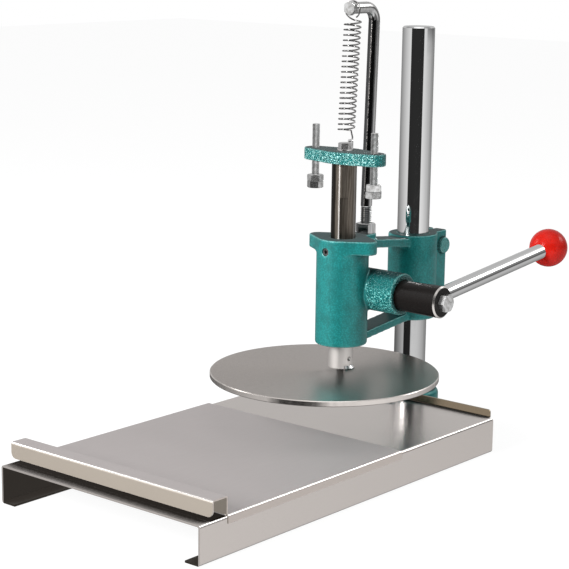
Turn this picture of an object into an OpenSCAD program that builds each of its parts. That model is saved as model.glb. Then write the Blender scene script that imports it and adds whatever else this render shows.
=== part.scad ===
// Pizza dough press: a rack and pinion bench press over a sliding tray
// Millimetres, +Z up, the tray towards -Y, the lever on the +X side
// The origin is on the floor, on the axis of the round column

/* [Node] */
// Piece to draw, or all of them

/* [Base] */
// Width across the folded base
base_w = 258.5; // [240:0.5:280]
// Column axis to the front edge of the base
base_front = 483.9; // [465:0.1:510]
// Column axis to the rear edge of the base
base_back = 24.5; // [24.5:0.1:27]
// Height of the top plate above the floor
base_h = 38; // [34:0.5:46]
// Thickness of the base sheet
base_t = 2; // [1.6:0.1:2.4]
// Outside radius of the folds of the base
base_bend = 3; // [2.6:0.1:4]
// Width of the inward lips along the floor
base_lip = 18; // [12:0.5:30]
// Height of the rear lip above the top plate
rear_lip_h = 8.3; // [6:0.1:12]
// Step from the side wall to the end of the rear lip
rear_lip_inset = 3.65; // [3:0.05:8]
// Radius of the corners of the rear lip
rear_lip_corner = 3; // [1:0.1:4]
// Radius of the rear corners of the side walls
wall_corner = 4.5; // [2:0.1:8]

/* [Tray] */
// Length of the tray plate from the riser to the rear edge
tray_l = 260.9; // [240:0.1:275]
// Rear edge of the base to the rear edge of the tray, pulled forward
tray_out = 165.9; // [160:0.1:170]
// Thickness of the tray sheet
tray_t = 1.5; // [1:0.1:1.8]
// Outside radius of the folds of the tray
tray_bend = 2.5; // [2:0.1:3]
// Play between the tray skirt and the side wall of the base
tray_side_gap = 0.15; // [0.1:0.05:0.4]
// Play between the tray and the top plate of the base
tray_rest_gap = 0.1; // [0.05:0.05:0.3]
// Depth of the side skirts of the tray
tray_skirt = 8.5; // [6:0.1:12]
// Corner cut of the rear end of a skirt
skirt_cut = 3; // [1:0.1:5]
// Height of the front handle above the tray plate
handle_h = 17.9; // [14:0.1:24]
// Depth of the front handle
handle_d = 18.4; // [14:0.1:24]
// Height of the front face of the handle
handle_drop = 16; // [10:0.1:16]
// Radius of the lower corners of the handle
handle_corner = 6; // [3:0.5:8]

/* [Column and foot] */
// Radius of the column
column_r = 17.5; // [15:0.1:18]
// Top of the column above the floor
column_top = 443.6; // [435:0.1:480]
// Edge break at the top of the column
column_break = 1.5; // [0.5:0.1:3]
// Radius of the cast foot
foot_r = 33; // [30:0.5:38]
// Height of the cast foot above the top plate
foot_rise = 7; // [5:0.5:14]
// Radius of the upper edge of the foot
foot_round = 6; // [4:0.5:8]
// Thickness of the floor of the column socket
socket_floor = 6; // [4:0.5:10]
// Play of the column in its socket
socket_gap = 0.02; // [0.01:0.01:0.05]
// Half width of the tongue under the top plate
tongue_w = 25; // [22:0.5:29]
// Column axis to the front end of the tongue
tongue_l = 75; // [70:0.5:90]
// Thickness of the tongue
tongue_t = 16; // [12:0.5:20]
// Half distance between the tongue screws
foot_screw_x = 14; // [12:0.5:17]
// Column axis to the tongue screws
foot_screw_y = 52; // [46:0.5:60]
// Shank radius of the tongue screws
foot_screw_r = 3; // [2:0.1:3.2]
// Extra radius of a flush head over its shank
foot_screw_flare = 2; // [1.4:0.1:2.4]
// Length of the tongue screws
foot_screw_l = 14; // [8:0.5:17]

/* [Head casting] */
// Column axis to the ram axis
reach = 125; // [120:0.5:132]
// Top plate to the underside of the sleeve
head_lift = 79; // [70:0.5:90]
// Outside radius of the ram sleeve
sleeve_r = 27.5; // [26:0.1:30]
// Height of the ram sleeve
sleeve_h = 113; // [108:0.5:120]
// Thickness of the stop flange
flange_t = 14.5; // [11:0.5:18]
// Ram axis to the centres of the ends of the stop flange
flange_x = 32; // [28:0.1:36]
// Radius of the ends of the stop flange
flange_r = 10.2; // [8:0.1:14]
// Radius of the pad under the spring post
pad_r = 11; // [9:0.1:13]
// Underside of the sleeve to the underside of the column clamp
clamp_lift = 8.5; // [4:0.5:14]
// Height of the column clamp
clamp_h = 94; // [90:0.5:98]
// Outside radius of the column clamp
clamp_r = 27; // [25:0.1:30]
// Half width over the clamp ears
ear_x = 17; // [15:0.1:20]
// Column axis to the back of the ears
ear_y = 42; // [40:0.1:45]
// Width of the slit between the ears
slit_w = 3; // [2:0.1:4]
// Half width of the upper arm
arm_top_w = 13.5; // [11:0.1:16]
// Thickness of the upper arm
arm_top_t = 9; // [7:0.1:12]
// Half width of the lower arm
arm_low_w = 13; // [11:0.1:16]
// Thickness of the lower arm
arm_low_t = 8.4; // [7:0.1:12]
// Radius of the pinion boss
boss_r = 22; // [20.5:0.1:24]
// Ram axis to the lever end of the pinion boss
boss_right = 62; // [56:0.1:68]
// Axis of the boss above the axis of the pinion
boss_up = 1.1; // [0:0.1:2]
// Ram axis to the far end of the pinion boss
boss_left = 30; // [28:0.1:36]
// Edge break of the machined faces
edge_break = 1; // [0.5:0.1:1.4]
// Running play of round parts in their bores, on the radius
fit = 0.05; // [0.03:0.01:0.09]

/* [Rack and pinion] */
// Module of the teeth
tooth_m = 2; // [1.9:0.01:2.05]
// Underside of the sleeve to the pinion axis
pinion_lift = 55.9; // [54:0.1:62]
// Half length of the toothed part of the pinion
pinion_half = 13; // [10:0.1:13.4]
// Pitch line of the rack behind the ram axis
rack_y = 10; // [9.8:0.05:10.2]
// Play between the flanks of the teeth
backlash = 0.2; // [0.12:0.02:0.4]
// Length of the rack above the pinion axis
rack_up = 66; // [60:0.5:70]
// Length of the rack below the pinion axis
rack_down = 24; // [20:0.5:30]
// Radius of the far journal of the pinion shaft
journal_r = 8; // [6:0.1:9]

/* [Ram and disc] */
// Radius of the ram
ram_r = 13; // [12.4:0.05:13.1]
// Length of ram that shows below the sleeve
ram_show = 26.1; // [20:0.1:30]
// Top of the sleeve to the underside of the crosshead
ram_rise = 78.2; // [70:0.1:90]
// Width of the flat slot in the ram
slot_w = 8; // [5:0.1:10]
// Depth of the flat slot in the ram
slot_d = 3; // [1:0.1:4]
// Top of the sleeve to the upper end of the flat slot
slot_rise = 43; // [30:0.5:60]
// Direction of the cross hole, in degrees from +X
cross_dir = -8; // [-30:1:30]
// Radius of the cross hole near the disc
cross_r = 2.5; // [1.5:0.1:3]
// Height of the cross hole above the disc
cross_z = 10.6; // [7:0.1:14]
// Depth of the cross hole
cross_d = 6; // [3:0.1:7]
// Leg of the weld tack between the ram and the disc
tack = 3.2; // [2:0.1:4]
// Half of the arc that the weld tack covers, in degrees
tack_arc = 24; // [15:1:40]
// Radius of the pressing disc
disc_r = 120; // [110:0.5:124]
// Thickness of the pressing disc
disc_t = 5.9; // [4:0.1:8]
// Centre of the disc in front of the ram axis
disc_shift = 27.3; // [20:0.1:30]
// Edge break of the pressing disc
disc_break = 0.8; // [0.4:0.1:1.4]
// Shank radius of the disc screw
disc_screw_r = 4; // [3:0.1:5]
// Extra radius of the flush head of the disc screw
disc_screw_flare = 3.6; // [2:0.1:3.8]
// Length of the disc screw in the ram
disc_screw_l = 19; // [12:0.5:26]

/* [Crosshead] */
// Thickness of the crosshead
cross_t = 12.8; // [10:0.1:16]
// Radius of the middle of the crosshead
cross_mid_r = 21; // [17:0.1:24]
// Radius of the ends of the crosshead
cross_end_r = 12; // [10:0.1:14]
// Ram axis to the stop screws
stop_x = 38.4; // [36:0.1:42]
// Radius of the stop screws
stop_r = 4.1; // [3.5:0.1:4.6]
// Width across the flats of the stop heads and nuts
stop_af = 15; // [13:0.1:17]
// Length of the shank of the stop screws
stop_l = 60; // [50:0.5:70]
// Thickness of the stop heads
stop_head_t = 7; // [5:0.1:8]
// Thickness of the stop nuts
stop_nut_t = 6.5; // [5:0.1:8]
// Gap between a stop nut and its head
stop_nut_gap = 0.3; // [0.1:0.1:1]
// Travel of the ram down to the right stop
stroke = 44.9; // [42:0.1:50]
// Height of the left stop above the right one
stop_step = 3.4; // [0:0.1:4]
// Pitch of the threads of the stop screws
thread_p = 1.25; // [1:0.05:1.75]
// Depth of the threads of the stop screws
thread_d = 0.7; // [0.3:0.05:0.8]
// Width across the flats of the top bolt
top_af = 12; // [11:0.1:13]
// Thickness of the head of the top bolt
top_head_t = 6.3; // [5:0.1:8]
// Shank radius of the top bolt
top_r = 4; // [3:0.1:5]
// Length of the top bolt in the ram
top_l = 20; // [10:0.5:28]
// Thickness of the spring tab
tab_t = 1.5; // [1:0.1:2]
// Width of the spring tab
tab_w = 6; // [5:0.1:8]
// Ram axis to the upright face of the spring tab
tab_y = 9.5; // [9:0.1:11]
// Height of the spring tab above the crosshead
tab_h = 10.6; // [10:0.1:14]
// Radius of the hole in the spring tab
tab_hole_r = 1.6; // [1.5:0.05:2]

/* [Spring post and spring] */
// Radius of the spring post
post_r = 6; // [5:0.1:7]
// Ram axis to the foot of the spring post
post_y = 39; // [38:0.1:46]
// Backward lean of the post above its thread, in degrees
post_lean = 1.9; // [0:0.1:3]
// Top of the sleeve to the axis of the arm of the post
post_rise = 236; // [225:0.5:250]
// Radius of the bend of the post, on its axis
post_bend = 14; // [11:0.5:18]
// How much the bend thins the post, on the radius
post_thin = 0.05; // [0.03:0.01:0.1]
// Ram axis to the free end of the arm of the post
post_end = 8; // [7:0.1:10]
// Length of the thread above the sleeve
post_thread = 29; // [22:0.5:40]
// Pitch of the thread of the post
post_pitch = 2; // [1.5:0.05:2.4]
// Depth of the thread of the post
post_thread_d = 1; // [0.5:0.05:1.2]
// Width across the flats of the post nut
post_af = 19; // [17:0.1:21]
// Thickness of the post nut
post_nut_t = 10; // [8:0.1:12]
// Width across the flats of the end bolt
end_af = 13; // [12.6:0.1:15]
// Thickness of the head of the end bolt
end_head_t = 5.5; // [4:0.1:7]
// Shank radius of the end bolt
end_r = 3; // [2:0.1:4]
// Length of the end bolt in the post
end_l = 12; // [8:0.5:16]
// Radius of the spring wire
wire_r = 0.7; // [0.5:0.05:0.8]
// Outside radius of the spring
spring_r = 9.1; // [8.6:0.1:10]
// Curls of the spring
spring_n = 21; // [12:1:24]
// Top of the crosshead to the first curl
spring_low = 19.5; // [18:0.1:24]
// Axis of the arm of the post down to the last curl
spring_top = 13.2; // [12:0.1:18]
// Play between the upper hook and the arm
hook_gap = 0.4; // [0.3:0.05:0.8]

/* [Lever] */
// Radius of the black hub at its outer end
hub_r = 16.7; // [16.1:0.1:20]
// How much slimmer the hub is at the boss, on the radius
hub_taper = 0.9; // [0.2:0.1:2]
// Ram axis to the outer end of the hub
hub_end = 112; // [105:0.1:120]
// Edge break of the hub
hub_break = 1.5; // [0.5:0.1:2.5]
// Gap between the hub and the boss
hub_gap = 0.3; // [0.2:0.1:1]
// Ram axis to the axis of the lever rod, sideways
lever_x = 95.5; // [90:0.1:99]
// Radius of the lever rod
lever_r = 8.25; // [7:0.05:9]
// Pinion axis to the centre of the ball
lever_l = 229.7; // [200:0.1:260]
// Rise of the lever rod above level, in degrees
lever_rise = 6.1; // [0:0.01:12]
// Depth of the lever rod past the pinion axis
lever_in = 10; // [6:0.1:11]
// Radius of the ball
ball_r = 21.25; // [18:0.05:25]
// Radius of the stud of the lever rod in the ball
stud_r = 5; // [3:0.1:6]
// Radius of the flat of the ball around the rod
ball_flat_r = 10; // [9.5:0.1:12]
// Width across the flats of the lever bolt
lever_af = 17; // [14:0.1:19]
// Thickness of the head of the lever bolt
lever_head_t = 7.6; // [5:0.1:9]
// Shank radius of the lever bolt
lever_bolt_r = 5; // [4:0.1:6]

/* [Small screws] */
// Radius of the set screw of the sleeve
set_r = 4; // [2.5:0.1:4.4]
// Width of the countersink at the mouth of the set screw hole
set_flare = 0.6; // [0.2:0.1:1]
// Direction of the set screw, in degrees from +X
set_dir = -95; // [-110:1:-80]
// Top of the sleeve to the set screw
set_drop = 13; // [9:0.1:16]
// Distance of the set screw inside the face of the sleeve
set_in = 1.6; // [1:0.1:3]
// Gap between the set screw and the ram
set_gap = 0.5; // [0.3:0.1:1]
// Width across the flats of the hexagon sockets
key_af = 3.8; // [2.5:0.1:4]
// Depth of the hexagon sockets
key_d = 3; // [2:0.1:3.4]
// Column axis to the clamp screws
clamp_screw_y = 33.2; // [30.5:0.1:34]
// Top of the clamp to the upper clamp screw
clamp_screw_top = 16.5; // [13:0.1:22]
// Underside of the clamp to the lower clamp screw
clamp_screw_low = 19.5; // [13:0.1:24]
// Shank radius of the clamp screws
clamp_screw_r = 4; // [3:0.1:4.5]
// Radius of the heads of the clamp screws
clamp_head_r = 8.7; // [7.5:0.1:9]
// Thickness of the heads of the clamp screws
clamp_head_t = 6; // [4:0.1:7]
// Depth of the seats of the clamp screws
clamp_seat = 2; // [1:0.1:3]
// Radius of the bolt at the far end of the pinion shaft
far_bolt_r = 3; // [2:0.1:4]
// Length of the far bolt in the shaft
far_bolt_l = 12; // [8:0.5:16]
// Width across the flats of the far bolt
far_af = 10; // [9:0.1:13]
// Thickness of the head of the far bolt
far_head_t = 4; // [3:0.1:6]
// Radius of the far washer
far_washer_r = 11; // [10:0.1:13]
// Thickness of the far washer
far_washer_t = 1.5; // [1:0.1:2.5]
// Gap between the far washer and the boss
far_gap = 0.3; // [0.2:0.1:0.6]

/* [Hidden] */
$fn = 64;
over = base_t;
pinion_teeth = 14;
pinion_pitch_r = tooth_m * pinion_teeth / 2;
pressure = 20;
tooth_step = PI * tooth_m;
rack_add = 0.8 * tooth_m;
rack_ded = 1.15 * tooth_m;
pinion_tip_r = pinion_pitch_r + 0.95 * tooth_m;
pinion_root_r = pinion_pitch_r - 1.1 * tooth_m;
shaft_r = pinion_tip_r + fit * 4;
pinion_y = rack_y + pinion_pitch_r - reach;
sleeve_bottom = base_h + head_lift;
sleeve_top = sleeve_bottom + sleeve_h;
flange_bottom = sleeve_top - flange_t;
clamp_bottom = sleeve_bottom + clamp_lift;
clamp_top = clamp_bottom + clamp_h;
pinion_z = sleeve_bottom + pinion_lift;
kink_z = sleeve_top + post_thread;
disc_top = sleeve_bottom - ram_show;
disc_bottom = disc_top - disc_t;
cross_bottom = sleeve_top + ram_rise;
cross_top = cross_bottom + cross_t;
arm_z = sleeve_top + post_rise;
tray_bottom = base_h + tray_rest_gap;
tray_top = tray_bottom + tray_t;
tray_w = base_w + 2 * (tray_side_gap + tray_t);
tray_back_y = -base_back - tray_out;
tray_front_y = tray_back_y - tray_l;
lip_half = base_w / 2 - rear_lip_inset;
slot_dir = -52;
left_stop_dir = -30;
right_stop_dir = -4;
post_nut_dir = -40;
top_bolt_dir = -22;
stop_right_z = sleeve_top + stroke;
stop_left_z = stop_right_z + stop_step;
clamp_screw_z = [clamp_top - clamp_screw_top, clamp_bottom + clamp_screw_low];

// Colours of the finishes
TEAL = "#1f7f7d";
STAINLESS = "#b9b0ab";
STEEL = "#8c8783";
CHROME = "#d5d5d5";
DARK = "#55504a";
BLACK = "#1c1b1b";
ZINC = "#b5b7b8";
RED = "#d3201a";

// Round bars along each axis and a block between planes
module bar_z(r, z0, z1) translate([0, 0, z0]) cylinder(r = r, h = z1 - z0);
module bar_x(r, x0, x1) translate([x0, 0, 0]) rotate([0, 90, 0]) cylinder(r = r, h = x1 - x0);
module bar_y(r, y0, y1) translate([0, y0, 0]) rotate([-90, 0, 0]) cylinder(r = r, h = y1 - y0);
module block(x0, x1, y0, y1, z0, z1)
  translate([x0, y0, z0]) cube([x1 - x0, y1 - y0, z1 - z0]);

// A bar along Z with both ends broken
module broken_bar(r, z0, z1, low, high)
  rotate_extrude()
    polygon([[0, z0], [r - low, z0], [r, z0 + low], [r, z1 - high], [r - high, z1], [0, z1]]);

// A hexagon prism with its corners broken at one end or both
module hexagon(af, z0, z1, low = 0, high = 1) {
  corner = af / sqrt(3);
  cut = corner - af / 2;
  intersection() {
    translate([0, 0, z0]) cylinder(r = corner, h = z1 - z0, $fn = 6);
    rotate_extrude()
      polygon([[0, z0], [corner - cut * low, z0], [corner, z0 + cut * low / 2],
        [corner, z1 - cut * high / 2], [corner - cut * high, z1], [0, z1]]);
  }
}

// A bar along Z with thread rings from z0 to z1
module thread_bar(r, d, p, z0, z1) {
  n = floor((z1 - z0) / p);
  q = (z1 - z0) / n;
  rotate_extrude()
    polygon(concat([[0, z0]],
      [for (i = [0 : n - 1]) each [[r - d, z0 + i * q], [r, z0 + (i + 0.5) * q]]],
      [[r - d, z1], [0, z1]]));
}

// A quarter of a folded sheet, its axis along X or Y
module fold_y(r, t, y0, y1, sx, sz)
  intersection() {
    difference() {
      bar_y(r, y0, y1);
      bar_y(r - t, y0 - over, y1 + over);
    }
    translate([sx > 0 ? 0 : -r, y0, sz > 0 ? 0 : -r]) cube([r, y1 - y0, r]);
  }
module fold_x(r, t, x0, x1, sy, sz)
  intersection() {
    difference() {
      bar_x(r, x0, x1);
      bar_x(r - t, x0 - over, x1 + over);
    }
    translate([x0, sy > 0 ? 0 : -r, sz > 0 ? 0 : -r]) cube([x1 - x0, r, r]);
  }

// What a rounded corner takes away, in a plate that is normal to X or to Y
module corner_x(r, x0, x1, sy, sz)
  difference() {
    translate([x0, sy > 0 ? 0 : -r - over, sz > 0 ? 0 : -r - over])
      cube([x1 - x0, r + over, r + over]);
    bar_x(r, x0 - over, x1 + over);
  }
module corner_y(r, y0, y1, sx, sz)
  difference() {
    translate([sx > 0 ? 0 : -r - over, y0, sz > 0 ? 0 : -r - over])
      cube([r + over, y1 - y0, r + over]);
    bar_y(r, y0 - over, y1 + over);
  }

// Plan of a middle circle joined by tangents to an equal circle at each side
module lobed_plate(mid, end, x, z0, z1) {
  a = acos((mid - end) / x);
  bar_z(mid, z0, z1);
  for (s = [-1, 1]) translate([s * x, 0, 0]) bar_z(end, z0, z1);
  for (s = [-1, 1])
    translate([0, 0, z0])
      linear_extrude(z1 - z0)
        polygon([[0, 0], [s * mid * cos(a), mid * sin(a)], [s * (x + end * cos(a)), end * sin(a)],
          [s * (x + end * cos(a)), -end * sin(a)], [s * mid * cos(a), -mid * sin(a)]]);
}

// Folded base: an open channel upside down, with a raised rear lip
module base() {
  x = base_w / 2;
  y0 = -base_front;
  y1 = -base_back;
  color(STAINLESS) difference() {
    union() {
      block(-x + base_bend, x - base_bend, y0, y1 - base_bend, base_h - base_t, base_h);
      block(-lip_half, lip_half, y1 - base_t, y1, base_h - base_t + base_bend, base_h + rear_lip_h);
      translate([0, y1 - base_bend, base_h - base_t + base_bend])
        fold_x(base_bend, base_t, -lip_half, lip_half, 1, -1);
      for (s = [-1, 1]) {
        block(s > 0 ? x - base_t : -x, s > 0 ? x : -x + base_t, y0, y1, base_bend, base_h - base_bend);
        block(s > 0 ? x - base_lip : -x + base_bend, s > 0 ? x - base_bend : -x + base_lip,
          y0, y1, 0, base_t);
        translate([s * (x - base_bend), 0, base_h - base_bend]) fold_y(base_bend, base_t, y0, y1, s, 1);
        translate([s * (x - base_bend), 0, base_bend]) fold_y(base_bend, base_t, y0, y1, s, -1);
      }
    }
    for (s = [-1, 1]) {
      translate([0, y1 - wall_corner, base_h - wall_corner])
        corner_x(wall_corner, s > 0 ? lip_half + tray_side_gap : -x - over,
          s > 0 ? x + over : -lip_half - tray_side_gap, 1, 1);
      translate([s * (lip_half - rear_lip_corner), 0, base_h + rear_lip_h - rear_lip_corner])
        corner_y(rear_lip_corner, y1 - base_t - over, y1 + over, s, 1);
      translate([s * foot_screw_x, -foot_screw_y, 0])
        foot_screw_shape(fit * 2, over);
    }
  }
}

// A flush screw with its head in the top plate
module foot_screw_shape(play, rise) {
  z = base_h - base_t;
  bar_z(foot_screw_r + play, z - foot_screw_l + base_t - play, z);
  translate([0, 0, z])
    cylinder(r1 = foot_screw_r + play, r2 = foot_screw_r + foot_screw_flare + play, h = base_t);
  if (rise > 0) bar_z(foot_screw_r + foot_screw_flare + play, base_h, base_h + rise);
}
module foot_screws()
  color(ZINC)
    for (s = [-1, 1])
      translate([s * foot_screw_x, -foot_screw_y, 0])
        difference() {
          foot_screw_shape(0, 0);
          translate([0, 0, base_h - base_t])
            cylinder(r = key_af / sqrt(3), h = base_t + over, $fn = 6);
        }

// Cast foot behind the rear lip, with a tongue under the top plate
module column_foot() {
  top = base_h + foot_rise;
  under = base_h - base_t;
  q = foot_r - foot_round;
  color(TEAL) difference() {
    union() {
      rotate_extrude()
        polygon(concat([[0, 0], [foot_r, 0]],
          [for (i = [0 : 8]) [q + foot_round * cos(i * 90 / 8),
            top - foot_round + foot_round * sin(i * 90 / 8)]], [[0, top]]));
      block(-tongue_w, tongue_w, -tongue_l, 0, under - tongue_t, under);
    }
    block(-foot_r - over, foot_r + over, -foot_r - over, -base_back + tray_side_gap, under, top + over);
    bar_z(column_r + socket_gap, socket_floor, top + over);
    for (s = [-1, 1])
      translate([s * foot_screw_x, -foot_screw_y, 0]) foot_screw_shape(fit, 0);
  }
}

// Round column
module column()
  color(CHROME) broken_bar(column_r, socket_floor, column_top, column_break / 2, column_break);

// Sliding tray with side skirts and a folded front handle
module tray() {
  x = tray_w / 2;
  zt = tray_top + handle_h;
  yr = tray_front_y + tray_t;
  yf = tray_front_y - handle_d;
  color(STAINLESS) difference() {
    union() {
      block(-x + tray_bend, x - tray_bend, tray_front_y + tray_bend, tray_back_y, tray_bottom, tray_top);
      translate([0, tray_front_y + tray_bend, tray_bottom + tray_bend])
        fold_x(tray_bend, tray_t, -x + tray_bend, x - tray_bend, -1, -1);
      for (s = [-1, 1]) {
        translate([s * (x - tray_bend), 0, tray_top - tray_bend])
          fold_y(tray_bend, tray_t, tray_front_y + tray_bend, tray_back_y, s, 1);
        block(s > 0 ? x - tray_t : -x, s > 0 ? x : -x + tray_t, tray_front_y + tray_bend, tray_back_y,
          tray_top - tray_skirt, tray_top - tray_bend);
      }
      block(-x, x, tray_front_y, yr, tray_bottom + tray_bend, zt - tray_bend);
      translate([0, yr - tray_bend, zt - tray_bend]) fold_x(tray_bend, tray_t, -x, x, 1, 1);
      block(-x, x, yf + tray_bend, yr - tray_bend, zt - tray_t, zt);
      translate([0, yf + tray_bend, zt - tray_bend]) fold_x(tray_bend, tray_t, -x, x, -1, 1);
      block(-x, x, yf, yf + tray_t, zt - handle_drop, zt - tray_bend);
    }
    for (s = [-1, 1]) {
      translate([s * (x - handle_corner), 0, zt - handle_drop + handle_corner])
        corner_y(handle_corner, yf - over, yf + tray_t + over, s, -1);
      translate([0, tray_back_y - skirt_cut, tray_top - tray_skirt + skirt_cut])
        corner_x(skirt_cut, s > 0 ? x - tray_bend : -x - over, s > 0 ? x + over : -x + tray_bend, 1, -1);
    }
  }
}

// Head casting: ram sleeve, stop flange, pinion boss, two arms and the split column clamp
module head_casting() {
  w = clamp_screw_z;
  color(TEAL) difference() {
    union() {
      translate([0, -reach, 0]) {
        broken_bar(sleeve_r, sleeve_bottom, sleeve_top, edge_break, 0);
        lobed_plate(sleeve_r, flange_r, flange_x, flange_bottom, sleeve_top);
        translate([0, post_y, 0]) bar_z(pad_r, flange_bottom, sleeve_top);
        block(-pad_r, pad_r, 0, post_y, flange_bottom, sleeve_top);
      }
      translate([0, pinion_y, pinion_z + boss_up])
        rotate([0, 90, 0]) broken_bar(boss_r, -boss_left, boss_right, edge_break, edge_break);
      arm(arm_top_w, [sleeve_top - flange_t * 0.3, clamp_top - flange_t * 0.21], arm_top_t);
      arm(arm_low_w, [sleeve_bottom + arm_low_t, clamp_bottom + arm_low_t], arm_low_t);
      broken_bar(clamp_r, clamp_bottom, clamp_top, edge_break, edge_break);
      block(-ear_x, ear_x, 0, ear_y - clamp_seat * 2, clamp_bottom, clamp_top);
      block(-ear_x + clamp_seat * 2, ear_x - clamp_seat * 2, 0, ear_y, clamp_bottom, clamp_top);
      for (s = [-1, 1])
        translate([s * (ear_x - clamp_seat * 2), ear_y - clamp_seat * 2, 0])
          bar_z(clamp_seat * 2, clamp_bottom, clamp_top);
    }
    translate([0, -reach, 0]) bar_z(ram_r + fit, sleeve_bottom - over, sleeve_top + over);
    bar_z(column_r + fit, clamp_bottom - over, clamp_top + over);
    translate([0, pinion_y, pinion_z]) {
      bar_x(shaft_r + fit, -pinion_half - edge_break / 2, boss_right + over);
      bar_x(journal_r + fit, -boss_left - over, 0);
    }
    block(-slit_w / 2, slit_w / 2, 0, ear_y + over, clamp_bottom - over, clamp_top + over);
    for (z = w)
      translate([0, clamp_screw_y, z]) {
        bar_x(clamp_screw_r + fit * 5, -ear_x - over, ear_x + over);
        bar_x(clamp_head_r + fit * 5, ear_x - clamp_seat, ear_x + over);
      }
    set_place() {
      bar_x(set_r + fit, 0, sleeve_r + over);
      translate([sleeve_r - set_flare, 0, 0]) rotate([0, 90, 0])
        cylinder(r1 = set_r + fit, r2 = set_r + set_flare + over, h = set_flare + over);
    }
    translate([0, post_y - reach, 0]) bar_z(post_r + fit, flange_bottom - over, sleeve_top + over);
  }
}

// One arm of the casting, sloping from the sleeve to the clamp
module arm(w, top, t)
  translate([-w, 0, 0])
    rotate([90, 0, 90])
      linear_extrude(2 * w)
        polygon([[-reach + sleeve_r * 0.8, top[0]], [-reach + sleeve_r * 0.8, top[0] - t],
          [-clamp_r * 0.8, top[1] - t], [-clamp_r * 0.8, top[1]]]);

// Set screw in the sleeve, its axis along the local X
module set_place() translate([0, -reach, sleeve_top - set_drop]) rotate([0, 0, set_dir]) children();
module set_screw()
  color(ZINC) set_place()
    difference() {
      bar_x(set_r, ram_r + set_gap, sleeve_r - set_in);
      translate([sleeve_r - set_in - key_d, 0, 0])
        rotate([0, 90, 0]) cylinder(r = key_af / sqrt(3), h = key_d + over, $fn = 6);
    }

// Two screws that pinch the clamp on the column
module clamp_screws()
  color(TEAL)
    for (z = clamp_screw_z)
      translate([0, clamp_screw_y, z]) {
        bar_x(clamp_screw_r, -ear_x + edge_break, ear_x - clamp_seat);
        rotate([0, 90, 0])
          broken_bar(clamp_head_r, ear_x - clamp_seat, ear_x - clamp_seat + clamp_head_t, 0, edge_break);
      }

// Bent spring post, threaded at its foot, leaning back from the top of the thread
elbow_y = post_y + (arm_z - post_bend - kink_z) * tan(post_lean) - post_bend / cos(post_lean);
post_run = (arm_z - post_bend * (1 + sin(post_lean)) - kink_z) / cos(post_lean);
module spring_post() {
  sweep_r = 2 * (post_bend + post_r);
  color(DARK) translate([0, -reach, 0]) difference() {
    union() {
      translate([0, post_y, 0]) thread_bar(post_r, post_thread_d, post_pitch, flange_bottom, kink_z);
      translate([0, post_y, kink_z]) rotate([-post_lean, 0, 0])
        bar_z(post_r, -edge_break / 2, post_run + edge_break / 4);
      translate([0, elbow_y, arm_z - post_bend])
        intersection() {
          rotate([0, 90, 0]) rotate_extrude() translate([post_bend, 0]) circle(r = post_r - post_thin);
          translate([-post_r - over, 0, 0]) rotate([90, 0, 90]) linear_extrude(2 * (post_r + over))
            polygon([[0, 0], sweep_r * [cos(post_lean), -sin(post_lean)], sweep_r * [1, 1], [0, sweep_r]]);
        }
      translate([0, 0, arm_z]) bar_y(post_r, post_end, elbow_y + edge_break / 4);
    }
    translate([0, post_end, arm_z]) bar_y(end_r + fit, -over, end_l + fit);
  }
}

// Nut of the spring post
module post_nut()
  color(ZINC)
    translate([0, post_y - reach, 0])
      difference() {
        rotate([0, 0, post_nut_dir]) hexagon(post_af, sleeve_top, sleeve_top + post_nut_t, 1, 1);
        bar_z(post_r + fit, sleeve_top - over, sleeve_top + post_nut_t + over);
      }

// Bolt in the free end of the arm of the post
module post_end_bolt()
  color(ZINC)
    translate([0, post_end - reach, arm_z]) {
      rotate([90, 0, 0]) rotate([0, 0, 30]) hexagon(end_af, 0, end_head_t);
      bar_y(end_r, -end_head_t / 2, end_l);
    }

// Space that the rack leaves behind the ram, as a plan in Y and Z
function rack_cut() =
  let (far = rack_y + rack_ded + over, tip = rack_y + rack_add, root = rack_y - rack_ded,
    half = tooth_step / 4, n0 = ceil(-rack_down / tooth_step), n1 = floor(rack_up / tooth_step))
  concat([[far, -rack_down]], [[tip, -rack_down]],
    [for (k = [n0 : n1 - 1]) let (c = (k + 0.5) * tooth_step, a = rack_add * tan(pressure),
      b = rack_ded * tan(pressure))
      each [[tip, c - half - a], [root, c - half + b], [root, c + half - b], [tip, c + half + a]]],
    [[tip, rack_up], [far, rack_up]]);

// Ram with the rack at its back, a flat slot and a cross hole at its front
module ram() {
  color(STEEL) translate([0, -reach, 0]) difference() {
    broken_bar(ram_r, disc_top, cross_bottom, edge_break / 2, edge_break / 2);
    translate([-ram_r - over, 0, pinion_z])
      rotate([90, 0, 90]) linear_extrude(2 * (ram_r + over)) polygon(rack_cut());
    rotate([0, 0, slot_dir])
      block(ram_r - slot_d, ram_r + over, -slot_w / 2, slot_w / 2, disc_top + ram_show + slot_rise / 2,
        sleeve_top + slot_rise);
    rotate([0, 0, cross_dir]) translate([0, 0, disc_top + cross_z])
      bar_x(cross_r, ram_r - cross_d, ram_r + over);
    bar_z(disc_screw_r + fit, disc_top - over, disc_top + disc_screw_l + fit);
    bar_z(top_r + fit, cross_bottom - top_l - fit, cross_bottom + over);
  }
}

// Weld tack at the foot of the ram, under the cross hole
module weld_tack()
  color(ZINC) translate([0, -reach, disc_top]) rotate([0, 0, cross_dir])
    intersection() {
      difference() {
        cylinder(r1 = ram_r + tack, r2 = ram_r + tack / 4, h = tack);
        bar_z(ram_r + socket_gap, -over, tack + over);
      }
      linear_extrude(tack)
        polygon([[0, 0], for (s = [-1, 1]) 2 * ram_r * [cos(tack_arc), s * sin(tack_arc)]]);
    }

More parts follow.
